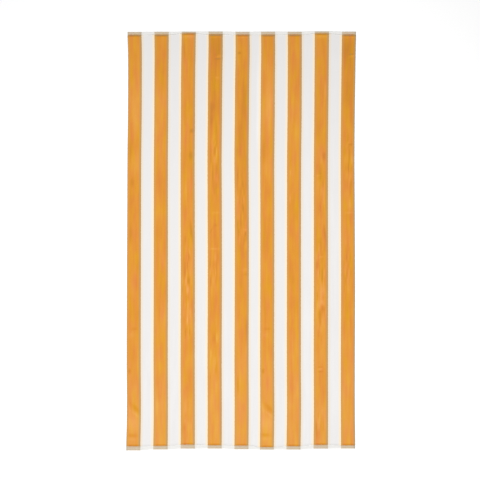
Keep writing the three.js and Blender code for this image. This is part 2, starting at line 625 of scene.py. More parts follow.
@dataclass(frozen=True)
class Tones:
    """The tones of one yarn: pressed and in painted shade, deep, even and pale, and its casts beside
    another yarn.

    The orange stands a little proud, so the cast is lit at the left border of each of its stripes and
    shaded at the right one.
    """

    pressed_and_shaded: str
    deep: str
    even: str
    pale: str
    lit: str
    shaded: str


def linear(code: str) -> tuple[float, float, float, float]:
    """Turns an sRGB colour such as "#f0e8dc" into the linear one that a shader works with.

    Args:
        code: the colour, as a hash and six hexadecimal digits.

    Returns:
        Its red, green, blue and alpha.
    """
    channels = [int(code[i : i + 2], 16) / 255 for i in (1, 3, 5)]
    red, green, blue = (c / 12.92 if c <= 0.04045 else ((c + 0.055) / 1.055) ** 2.4 for c in channels)
    return red, green, blue, 1.0


def add_node(
    tree: bpy.types.NodeTree,
    kind: str,
    settings: dict[str | int, object] | None = None,
    links: dict[str | int, bpy.types.NodeSocket] | None = None,
) -> bpy.types.Node:
    """Adds a node with its settings and links.

    Args:
        tree: the node tree that it goes in.
        kind: the node's kind, such as "Math" for ShaderNodeMath.
        settings: values for the node's own properties, for its input sockets, by name or number, or
            for the stops of its ramp, as pairs of a place and a colour.
        links: the output socket that feeds each input socket, by name or number.

    Returns:
        The node.
    """
    node = tree.nodes.new("ShaderNode" + kind)
    for name, value in (settings or {}).items():
        if name == "interpolation":
            node.color_ramp.interpolation = value
        elif name == "stops":
            elements = node.color_ramp.elements
            while len(elements) < len(value):
                elements.new(1.0)
            for element, (place, colour) in zip(elements, value):
                element.position = place
                element.color = colour
        elif isinstance(name, str) and hasattr(node, name):
            setattr(node, name, value)
        else:
            node.inputs[name].default_value = value
    for name, source in (links or {}).items():
        tree.links.new(source, node.inputs[name])
    return node


def new_tree(name: str) -> tuple[bpy.types.Material, bpy.types.NodeTree]:
    """Makes a material with an empty node tree.

    Args:
        name: the material's name.

    Returns:
        The material and its tree.
    """
    material = bpy.data.materials.new(name)
    material.use_nodes = True
    material.node_tree.nodes.clear()
    return material, material.node_tree


def cells_of_cloth(tree: bpy.types.NodeTree, cell: tuple[float, float]) -> bpy.types.NodeSocket:
    """Counts the flat cloth off in cells of a pattern.

    Args:
        tree: the node tree.
        cell: a cell's size across and along, in millimetres.

    Returns:
        The place on the cloth, in cells.
    """
    places = add_node(tree, "UVMap", {"uv_map": CLOTH_MAP}).outputs["UV"]
    scale = (1 / (cell[0] * MM), 1 / (cell[1] * MM), 1)
    return add_node(tree, "Mapping", {"Scale": scale}, {"Vector": places}).outputs["Vector"]


def uneven_yarn(
    tree: bpy.types.NodeTree, cell: tuple[float, float], detail: float = 2.0
) -> bpy.types.NodeSocket:
    """Gives the unevenness of yarn as soft patches.

    Args:
        tree: the node tree.
        cell: the patches' size across and along, in millimetres.
        detail: how many times finer ones are added.

    Returns:
        A factor from 0 to 1.
    """
    settings = {"noise_dimensions": "2D", "Scale": 1.0, "Detail": detail}
    return add_node(tree, "TexNoise", settings, {"Vector": cells_of_cloth(tree, cell)}).outputs["Fac"]


def weighted(
    tree: bpy.types.NodeTree,
    factors: tuple[bpy.types.NodeSocket, ...],
    weights: tuple[float, ...],
    start: float = 0.0,
) -> bpy.types.NodeSocket:
    """Adds up factors, each times its weight.

    Args:
        tree: the node tree.
        factors: the factors.
        weights: the weight of each.
        start: what the sum starts from.

    Returns:
        The sum.
    """
    total = None
    for factor, weight in zip(factors, weights):
        links = {0: factor} if total is None else {0: factor, 2: total}
        settings = {"operation": "MULTIPLY_ADD", 1: weight, 2: start}
        total = add_node(tree, "Math", settings, links).outputs[0]
    return total


def finish_surface(
    tree: bpy.types.NodeTree,
    settings: dict[str, object],
    colour: bpy.types.NodeSocket | None = None,
    height: bpy.types.NodeSocket | None = None,
    depth: float = 0.0,
) -> None:
    """Ends a tree with its shader.

    Args:
        tree: the node tree.
        settings: what the shader holds all over.
        colour: its colour, where that changes over the surface.
        height: its fine relief, from 0 to 1.
        depth: how deep that relief is, in millimetres.
    """
    shader = add_node(tree, "BsdfPrincipled", settings)
    if colour is not None:
        tree.links.new(colour, shader.inputs["Base Color"])
    if height is not None:
        bump = add_node(tree, "Bump", {"Strength": 1.0, "Distance": depth * MM}, {"Height": height})
        tree.links.new(bump.outputs["Normal"], shader.inputs["Normal"])
    add_node(tree, "OutputMaterial", links={"Surface": shader.outputs["BSDF"]})


@dataclass(frozen=True)
class StripedYarn:
    """Two dyed yarns side by side in the towel's stripes, mingling a little where they meet.

    Attributes:
        pattern: the stripes.
        orange: the tones of the orange yarn.
        white: the tones of the white yarn.
        mingle: how far tufts of one stand among the other.
        stray: the size of the patches of tufts that stray together.
        proud: how far the orange yarn, dyed and so fuller, stands over the white.
        cast: how strongly each takes the other's fibre and glow beside their border.
        cast_reach: how far from the border the cast is full, and where it ends.
        dye: the size of the patches where the yarn took its dye a little more or less.
        dye_turn: how far those turn the hue and deepen it, each way.
        tone_places: the factors at which the pressed-and-shaded, deep, even and pale tones lie.
    """

    pattern: StripePattern
    orange: Tones
    white: Tones
    mingle: float
    stray: tuple[float, float] = (2.4, 5.0)
    proud: float = 0.8
    cast: float = 0.7
    cast_reach: tuple[float, float] = (2.0, 13.0)
    dye: tuple[float, float] = (20.0, 100.0)
    dye_turn: tuple[float, float] = (0.018, 0.03)
    tone_places: tuple[float, float, float, float] = (0.05, 0.3, 0.5, 0.9)

    def from_middle(self, tree: bpy.types.NodeTree) -> bpy.types.NodeSocket:
        """Measures how far right a place lies from the middle of the orange stripe that is nearest.

        The stripes repeat evenly, once what the narrower middle one lacks is added past it.

        Args:
            tree: the node tree.

        Returns:
            The distance in millimetres, which is below 0 left of the middle.
        """
        stripes = self.pattern.stripes()
        narrow = stripes[2 * self.pattern.middle_white_after - 1]
        repeat = stripes[2].start
        half = self.pattern.orange_width / 2
        lacking = repeat - 2 * half - self.pattern.middle_white_width
        places = add_node(tree, "UVMap", {"uv_map": CLOTH_MAP}).outputs["UV"]
        metres = add_node(tree, "SeparateXYZ", links={"Vector": places}).outputs["X"]
        astray = uneven_yarn(tree, self.stray)
        across = weighted(tree, (metres, astray), (1 / MM, 2 * self.mingle), start=-self.mingle)
        settings = {"clamp": True, "From Max": self.pattern.width, "To Max": self.pattern.width}
        across = add_node(tree, "MapRange", settings, {"Value": across}).outputs["Result"]
        settings = {"operation": "GREATER_THAN", 1: (narrow.start + narrow.end) / 2}
        past_narrow = add_node(tree, "Math", settings, {0: across}).outputs[0]
        even = weighted(tree, (across, past_narrow), (1.0, lacking), start=-half)
        settings = {"operation": "WRAP", 1: repeat / 2, 2: -repeat / 2}
        return add_node(tree, "Math", settings, {0: even}).outputs[0]

    def colour(self, tree: bpy.types.NodeTree, tone: bpy.types.NodeSocket) -> bpy.types.NodeSocket:
        """Colours the yarn.

        Args:
            tree: the node tree.
            tone: how much light the yarn catches, from 0 to 1.

        Returns:
            The colour.
        """
        right = self.from_middle(tree)
        is_shaded = add_node(tree, "Math", {"operation": "GREATER_THAN", 1: 0.0}, {0: right}).outputs[0]
        away = add_node(tree, "Math", {"operation": "ABSOLUTE"}, {0: right}).outputs[0]
        border = self.pattern.orange_width / 2 + self.proud
        is_orange = add_node(tree, "Math", {"operation": "LESS_THAN", 1: border}, {0: away}).outputs[0]
        past = add_node(tree, "Math", {"operation": "SUBTRACT", 1: border}, {0: away}).outputs[0]
        distance = add_node(tree, "Math", {"operation": "ABSOLUTE"}, {0: past}).outputs[0]
        full, none = self.cast_reach
        settings = {"interpolation_type": "SMOOTHSTEP", "From Min": full, "From Max": none}
        settings |= {"To Min": self.cast, "To Max": 0.0}
        cast = add_node(tree, "MapRange", settings, {"Value": distance}).outputs["Result"]
        dye = uneven_yarn(tree, self.dye)
        turns = {
            name: weighted(tree, (dye,), (2 * turn,), start=middle - turn)
            for name, turn, middle in zip(("Hue", "Saturation"), self.dye_turn, (0.5, 1.0))
        }
        links = {0: is_orange}
        for socket, tones in ((MIX_FIRST, self.white), (MIX_SECOND, self.orange)):
            colours = map(linear, (tones.pressed_and_shaded, tones.deep, tones.even, tones.pale))
            stops = list(zip(self.tone_places, colours))
            own = add_node(tree, "ValToRGB", {"stops": stops}, {"Fac": tone}).outputs["Color"]
            own = add_node(tree, "HueSaturation", links={"Color": own, **turns}).outputs["Color"]
            casts = {MIX_FIRST: linear(tones.lit), MIX_SECOND: linear(tones.shaded)}
            settings = {"data_type": "RGBA", **casts}
            beside = add_node(tree, "Mix", settings, {0: is_shaded}).outputs[MIX_OUT]
            both = {0: cast, MIX_FIRST: own, MIX_SECOND: beside}
            links[socket] = add_node(tree, "Mix", {"data_type": "RGBA"}, both).outputs[MIX_OUT]
        return add_node(tree, "Mix", {"data_type": "RGBA"}, links).outputs[MIX_OUT]


@dataclass(frozen=True)
class CottonVelour:
    """Cut pile: cotton loops sheared level and brushed.

    The eye sees the cut ends of thousands of fibres. They scatter light evenly with a faint bloom at
    a low angle, and where the pile leans another way the colour turns deeper or paler in soft streaks
    along the warp.

    Attributes:
        pattern: the stripes.
        orange: the tones of the orange pile.
        white: the tones of the white pile.
        ior: the refraction of cotton fibre.
        roughness: how far the cut ends scatter light.
        sheen: how strong the bloom at a low angle is.
        sheen_roughness: how far that bloom spreads.
        tuft: the size of a tuft's cut end.
        streak: the size of the streaks along the warp.
        patch: the size of the broad patches where the nap leans alike.
        tone_weights: how much streaks, tufts, patches and the painted shade each tell in the tone.
        least_tone: the tone where none of them tells.
        nap_weights: how much tufts and streaks tell in the relief.
        nap: how deep the relief of the nap is.
        mingle: how far tufts of one yarn stand among the other.
    """

    pattern: StripePattern
    orange: Tones = Tones("#a28259", "#c17c1c", "#d48a28", "#e4a352", "#be9458", "#a69068")
    # The white's pressed-and-shaded tone is paler than its even one: painted light that offsets the shade
    # that the pile's edge casts by the hems.
    white: Tones = Tones("#f4f3f2", "#dfdddb", "#dddbda", "#e7e5e4", "#fadeaf", "#e8d3b4")
    ior: float = 1.45
    roughness: float = 0.92
    sheen: float = 0.12
    sheen_roughness: float = 0.5
    tuft: tuple[float, float] = (1.8, 2.4)  # real tufts stand 1.2 mm apart, drawn coarser to show
    streak: tuple[float, float] = (9.0, 150.0)
    patch: tuple[float, float] = (40.0, 110.0)
    tone_weights: tuple[float, float, float, float] = (0.2, 0.34, 0.16, -0.5)
    least_tone: float = 0.15
    nap_weights: tuple[float, float] = (0.6, 0.4)
    nap: float = 0.4
    mingle: float = 0.9

    def material(self) -> bpy.types.Material:
        """Makes the material.

        Returns:
            Cotton velour in the towel's stripes.
        """
        material, tree = new_tree("cotton_velour")
        streaks = uneven_yarn(tree, self.streak)
        ends = uneven_yarn(tree, self.tuft)
        patches = uneven_yarn(tree, self.patch)
        shade = add_node(tree, "Attribute", {"attribute_name": SHADE}).outputs["Fac"]
        factors = (streaks, ends, patches, shade)
        tone = weighted(tree, factors, self.tone_weights, start=self.least_tone)
        yarn = StripedYarn(self.pattern, self.orange, self.white, self.mingle)
        colour = yarn.colour(tree, tone)
        settings = {
            "Roughness": self.roughness,
            "IOR": self.ior,
            "Sheen Weight": self.sheen,
            "Sheen Roughness": self.sheen_roughness,
        }
        height = weighted(tree, (ends, streaks), self.nap_weights)
        finish_surface(tree, settings, colour, height, self.nap)
        return material


@dataclass(frozen=True)
class CottonTerry:
    """Loop pile: the same dyed cotton, woven in loops and left uncut.

    Rows of small loops catch the light on their tops and hold shadow between them, so the back is
    rougher and a little deeper in colour than the front.

    Attributes:
        pattern: the stripes.
        orange: the tones of the orange loops.
        white: the tones of the white loops.
        ior: the refraction of cotton fibre.
        roughness: how far the loops scatter light.
        sheen: how strong the bloom at a low angle is.
        loop: the size of a loop.
        loop_scatter: how far the loops stand out of line, from 0 to 1.
        patch: the size of the patches where they stand alike.
        height_weights: how much loops and patches tell in the height, and so in the tone.
        loop_height: how deep the relief of the loops is.
        mingle: how far loops of one yarn stand among the other.
    """

    pattern: StripePattern
    orange: Tones = Tones("#94570f", "#b36b1c", "#d08a34", "#dd9c4c", "#bc8d49", "#b48a4d")
    white: Tones = Tones("#bdbcb7", "#c9c8c3", "#dcdbd7", "#e6e5e2", "#e2d2b8", "#dccfb8")
    ior: float = 1.45
    roughness: float = 0.95
    sheen: float = 0.1
    loop: tuple[float, float] = (3.0, 3.6)  # real loops are 1.5 mm apart, drawn coarser to show
    loop_scatter: float = 0.7
    patch: tuple[float, float] = (14.0, 24.0)
    height_weights: tuple[float, float] = (0.75, 0.25)
    loop_height: float = 1.6
    mingle: float = 1.1

    def material(self) -> bpy.types.Material:
        """Makes the material.

        Returns:
            Cotton terry in the towel's stripes.
        """
        material, tree = new_tree("cotton_terry")
        settings = {"voronoi_dimensions": "2D", "feature": "F1", "Scale": 1.0}
        settings["Randomness"] = self.loop_scatter
        links = {"Vector": cells_of_cloth(tree, self.loop)}
        gap = add_node(tree, "TexVoronoi", settings, links).outputs["Distance"]
        patches = uneven_yarn(tree, self.patch)
        top = add_node(tree, "Math", {"operation": "SUBTRACT", 0: 1.0}, {1: gap}).outputs[0]
        height = weighted(tree, (top, patches), self.height_weights)
        yarn = StripedYarn(self.pattern, self.orange, self.white, self.mingle)
        colour = yarn.colour(tree, height)
        settings = {"Roughness": self.roughness, "IOR": self.ior, "Sheen Weight": self.sheen}
        finish_surface(tree, settings, colour, height, self.loop_height)
        return material


@dataclass(frozen=True)
class PlainWeave:
    """Flat-woven cotton ground: undyed warp and weft with the pile yarn woven in flat.

    With no pile over it the ground is smooth and pale, a washed-out tone of the stripe that it
    carries on, with the thread crossings just showing.

    Attributes:
        pattern: the stripes.
        orange: the tones of the orange ground.
        white: the tones of the white ground.
        ior: the refraction of cotton fibre.
        roughness: how far the flat threads scatter light.
        thread: how far apart the threads lie.
        thread_depth: how deep the relief of the threads is.
        slub: the size of the thick places in the weft.
        tone_weights: how much crossings, slubs and the shade painted beside the pile each tell in the tone.
        mingle: how far threads of one yarn stray into the other.
    """

    pattern: StripePattern
    orange: Tones = Tones("#c29c66", "#bda687", "#c7b69e", "#d5c8b4", "#c7b69e", "#bbac96")
    # The white's pressed-and-shaded tone is paler than its even one: painted light that offsets the shade
    # that the pile casts on the hem.
    white: Tones = Tones("#eeedea", "#e2e1de", "#e4e3e1", "#e8e7e6", "#e6e1d8", "#dfdbd3")
    ior: float = 1.45
    roughness: float = 0.85
    thread: float = 1.5  # real threads lie 0.7 mm apart, drawn twice as coarse so that they show
    thread_depth: float = 0.3
    slub: tuple[float, float] = (9.0, 1.4)
    tone_weights: tuple[float, float, float] = (0.4, 0.6, -0.45)
    mingle: float = 0.6

    def crossings(self, tree: bpy.types.NodeTree) -> bpy.types.NodeSocket:
        """Shapes the thread crossings, where warp and weft take turns on top.

        Args:
            tree: the node tree.

        Returns:
            A height from 0 to 1.
        """
        cell = self.thread * 2 / math.tau
        split = add_node(tree, "SeparateXYZ", links={"Vector": cells_of_cloth(tree, (cell, cell))})
        waves = [
            add_node(tree, "Math", {"operation": "SINE"}, {0: split.outputs[axis]}).outputs[0]
            for axis in ("X", "Y")
        ]
        links = dict(enumerate(waves))
        over = add_node(tree, "Math", {"operation": "MULTIPLY"}, links).outputs[0]
        return add_node(tree, "Math", {"operation": "MULTIPLY_ADD", 1: 0.5, 2: 0.5}, {0: over}).outputs[0]

    def material(self) -> bpy.types.Material:
        """Makes the material.

        Returns:
            Flat-woven cotton in a pale tone of the towel's stripes.
        """
        material, tree = new_tree("plain_woven_cotton")
        crossings = self.crossings(tree)
        slubs = uneven_yarn(tree, self.slub)
        # Painted shade on the hem beside the pile.
        beside_pile_shade = add_node(tree, "Attribute", {"attribute_name": SHADE}).outputs["Fac"]
        tone = weighted(tree, (crossings, slubs, beside_pile_shade), self.tone_weights)
        yarn = StripedYarn(self.pattern, self.orange, self.white, self.mingle)
        colour = yarn.colour(tree, tone)
        settings = {"Roughness": self.roughness, "IOR": self.ior}
        finish_surface(tree, settings, colour, crossings, self.thread_depth)
        return material


@dataclass(frozen=True)
class SewingThread:
    """Spun polyester thread, plied and lightly waxed, which gives the stitches a small soft gleam.

    Attributes:
        colour: the colour of a ply.
        shade_between_plies: the painted shade in the grooves between plies.
        tone_places: the factors at which the grooves' painted shade ends and the plies' colour begins.
        ior: the refraction of polyester.
        roughness: how far the waxed thread scatters light.
        ply: the size of one turn of a ply.
        ply_depth: how deep the grooves are.
    """

    colour: str = "#e6e2d9"
    shade_between_plies: str = "#ccc5b8"
    tone_places: tuple[float, float] = (0.35, 0.6)
    ior: float = 1.58
    roughness: float = 0.55
    ply: tuple[float, float] = (0.9, 0.5)
    ply_depth: float = 0.1

    def material(self) -> bpy.types.Material:
        """Makes the material.

        Returns:
            Pale spun thread.
        """
        material, tree = new_tree("spun_polyester_thread")
        twist = uneven_yarn(tree, self.ply, detail=1.0)
        stops = list(zip(self.tone_places, (linear(self.shade_between_plies), linear(self.colour))))
        colour = add_node(tree, "ValToRGB", {"stops": stops}, {"Fac": twist}).outputs["Color"]
        settings = {"Roughness": self.roughness, "IOR": self.ior}
        finish_surface(tree, settings, colour, twist, self.ply_depth)
        return material


@dataclass(frozen=True)
class GroundYarn:
    """Undyed carded cotton yarn, matt and creamy, at the hidden foot of the pile and in cut edges."""

    colour: str = "#d8d3c8"
    ior: float = 1.45
    roughness: float = 0.95

    def material(self) -> bpy.types.Material:
        """Makes the material.

        Returns:
            Plain undyed yarn.
        """
        material, tree = new_tree("undyed_ground_yarn")
        finish_surface(
            tree, {"Base Color": linear(self.colour), "Roughness": self.roughness, "IOR": self.ior}
        )
        return material


@dataclass(frozen=True)
class MattPaint:
    """Rolled matt emulsion on the studio floor, which gives back nearly all light and no gloss."""

    colour: str = "#fdfdfd"
    ior: float = 1.5
    roughness: float = 1.0
    roller: float = 6.0  # real roller stipple is 2 mm across, drawn coarser to show
    stipple: float = 0.05

    def material(self) -> bpy.types.Material:
        """Makes the material.

        Returns:
            White matt paint.
        """
        material, tree = new_tree("matt_emulsion_paint")
        places = add_node(tree, "TexCoord").outputs["Object"]
        settings = {"Scale": 1 / (self.roller * MM), "Detail": 1.0}
        stipple = add_node(tree, "TexNoise", settings, {"Vector": places}).outputs["Fac"]
        settings = {
            "Base Color": linear(self.colour),
            "Roughness": self.roughness,
            "IOR": self.ior,
            "Specular IOR Level": 0.0,
        }
        finish_surface(tree, settings, height=stipple, depth=self.stipple)
        return material


# ---------------------------------------------------------------- the woven ground and its hems


@dataclass
class GroundCloth:
    """The woven ground, one length of cloth whose two ends are each turned in twice.

    Attributes:
        cloth: the cloth as it lies.
        weave: what the ground wears.
        yarn: what its cut edges wear.
        thickness: how thick the ground is.
        layer: how far apart the middles of a hem's layers lie.
        level: how high the middle of the ground runs between the hems.
        hem_depth: how deep a hem is, from its fold.
        tuck_depth: how much cloth is tucked in under it.
        tilt: how much higher a hem stands where the pile begins than at its fold.
        level_again_by: how far in from the fold the ground runs level.
        side_inset: how far in from the side edges the ground ends, which the pile wraps.
        column_step: the widest that a column of the mesh may be.
        row_step: how long its rows are between the hems.
        turn_steps: the steps round each fold.
        lap_points: the points along the tucked, the lower and the upper layer of a hem.
        sheet_share: the share of the printed sheet's width that each face takes.
        beside_pile_shade_reach: how far the shade painted on the hems beside the pile reaches.
        beside_pile_shade_near: how strong it is at the near end, where the far end has 1.
    """

    cloth: LaidCloth
    weave: bpy.types.Material
    yarn: bpy.types.Material
    thickness: float = 0.74
    layer: float = 0.8
    level: float = 2.2
    hem_depth: float = 12.2
    tuck_depth: float = 9.6
    tilt: float = 0.25
    level_again_by: float = 19.0
    side_inset: float = 0.5
    column_step: float = 9.0
    row_step: float = 42.0
    turn_steps: int = 6
    lap_points: tuple[int, int, int] = (5, 7, 9)
    sheet_share: float = 0.49
    beside_pile_shade_reach: float = 4.0
    beside_pile_shade_near: float = 0.6

    def hem_path(self) -> list[tuple[float, float]]:
        """Follows the middle of the ground through one hem, as distances in from the fold and heights.

        Returns:
            The path, from the tucked-in end of the cloth to where the ground runs level.
        """
        lower, tucked, upper = self.layer / 2, self.layer * 1.5, self.layer * 2.5
        inner_turn = self.hem_depth - self.layer / 2
        tucked_start = self.hem_depth - self.tuck_depth
        on_tucked, on_lower, on_upper = self.lap_points
        path = [(inset, tucked) for inset in np.linspace(tucked_start, inner_turn, on_tucked)]
        path += self.turn(inner_turn, tucked, lower, 1)
        path += [(inset, lower) for inset in np.linspace(inner_turn, self.layer, on_lower)]
        path += self.turn(self.layer, lower, upper, -1)
        path += [(inset, upper) for inset in np.linspace(self.layer, self.hem_depth, on_upper)]
        return path

    def turn(self, inset: float, start: float, end: float, outward: int) -> list[tuple[float, float]]:
        """Follows a half turn of the cloth.

        Args:
            inset: how far in the turn begins and ends.
            start: its first height.
            end: its last height.
            outward: 1 to bulge away from the fold, -1 to bulge towards it.

        Returns:
            The points between its two ends.
        """
        radius = abs(end - start) / 2
        angles = np.linspace(0, math.pi, self.turn_steps + 1)[1:-1]
        middle = (start + end) / 2
        return [
            (inset + outward * radius * math.sin(a), middle + (start - middle) * math.cos(a))
            for a in angles
        ]

    def path(self) -> np.ndarray:
        """Follows the middle of the ground from its near end to its far one.

        Returns:
            Places along the length and heights.
        """
        hem = np.array(self.hem_path())
        hem[:, 1] += self.tilt * hem[:, 0] / self.hem_depth
        near = np.vstack([hem, [self.level_again_by, self.level]])
        far = near[::-1].copy()
        far[:, 0] = self.cloth.length - far[:, 0]
        count = round(self.cloth.length / self.row_step)
        between = np.linspace(near[-1, 0], far[0, 0], count)[1:-1]
        middle = np.column_stack([between, np.full(len(between), self.level)])
        return np.vstack([near, middle, far])

    def beside_pile_shade(self, across: np.ndarray, along: np.ndarray) -> np.ndarray:
        """Tells how strongly shade is painted on the hems beside the pile, most of all right beside it.

        Args:
            across: places across the width.
            along: places along the length.

        Returns:
            How strong the painted shade is, from 0 to 1.
        """
        near = self.cloth.end_value(across, EndValue.NEAR_HEM) - along
        far = along - self.cloth.length + self.cloth.end_value(across, EndValue.FAR_HEM)
        past = np.maximum(0, np.maximum(near, far))
        most = blend(self.beside_pile_shade_near, 1.0, along / self.cloth.length)
        return most * np.exp(-((past / self.beside_pile_shade_reach) ** 2))

    def build(self) -> bpy.types.Object:
        """Builds the ground with both hems.

        Returns:
            The piece.
        """
        path = self.path()
        steps = np.gradient(path, axis=0)
        steps /= np.linalg.norm(steps, axis=1, keepdims=True)
        normals = np.column_stack([-steps[:, 1], steps[:, 0]])
        run = np.concatenate([[0], np.cumsum(np.linalg.norm(np.diff(path, axis=0), axis=1))])
        across = self.cloth.pattern.columns(self.column_step)
        across = np.clip(across, self.side_inset, self.cloth.width - self.side_inset)
        beside_pile_shade = self.beside_pile_shade(across[:, None], path[None, :, 0])
        sides = []
        for side, left in ((1, 0.0), (-1, 1 - self.sheet_share)):
            line = path + side * self.thickness / 2 * normals
            points = self.cloth.place(across[:, None], line[None, :, 0], line[None, :, 1])
            u = left + self.sheet_share * across / self.cloth.width
            v = np.linspace(0, 1, len(path))
            sheet = np.stack(np.broadcast_arrays(u[:, None], v[None, :]), axis=-1)
            sides.append(Grid(points, on_cloth(across[:, None], run), sheet, beside_pile_shade))
        materials = [self.weave, self.yarn]
        return part_of_towel(closed_skin("ground_cloth", *sides, materials, inner_wears=0))


# ---------------------------------------------------------------- the pile


@dataclass(frozen=True)
class Mark:
    """A crease in the cut pile, with its sides painted paler and darker as painted light and shade, or a
    patch painted darker or paler, which stripes five apart may share.

    Attributes:
        stripes: the orange stripes that have it, counted from the left.
        inset: its middle, from the stripe's left border.
        along: its middle, from the towel's near end.
        turn: how far its length is turned from the row of stripes, in degrees.
        length: its whole length.
        width: its whole width.
        height: how far it stands up, or lies below the pile if negative.
        shade: how much darker the pile is painted there, or paler if negative; on a crease this is painted
            light and shade.
    """

    stripes: tuple[int, ...]
    inset: float
    along: float
    turn: float
    length: float
    width: float
    height: float
    shade: float


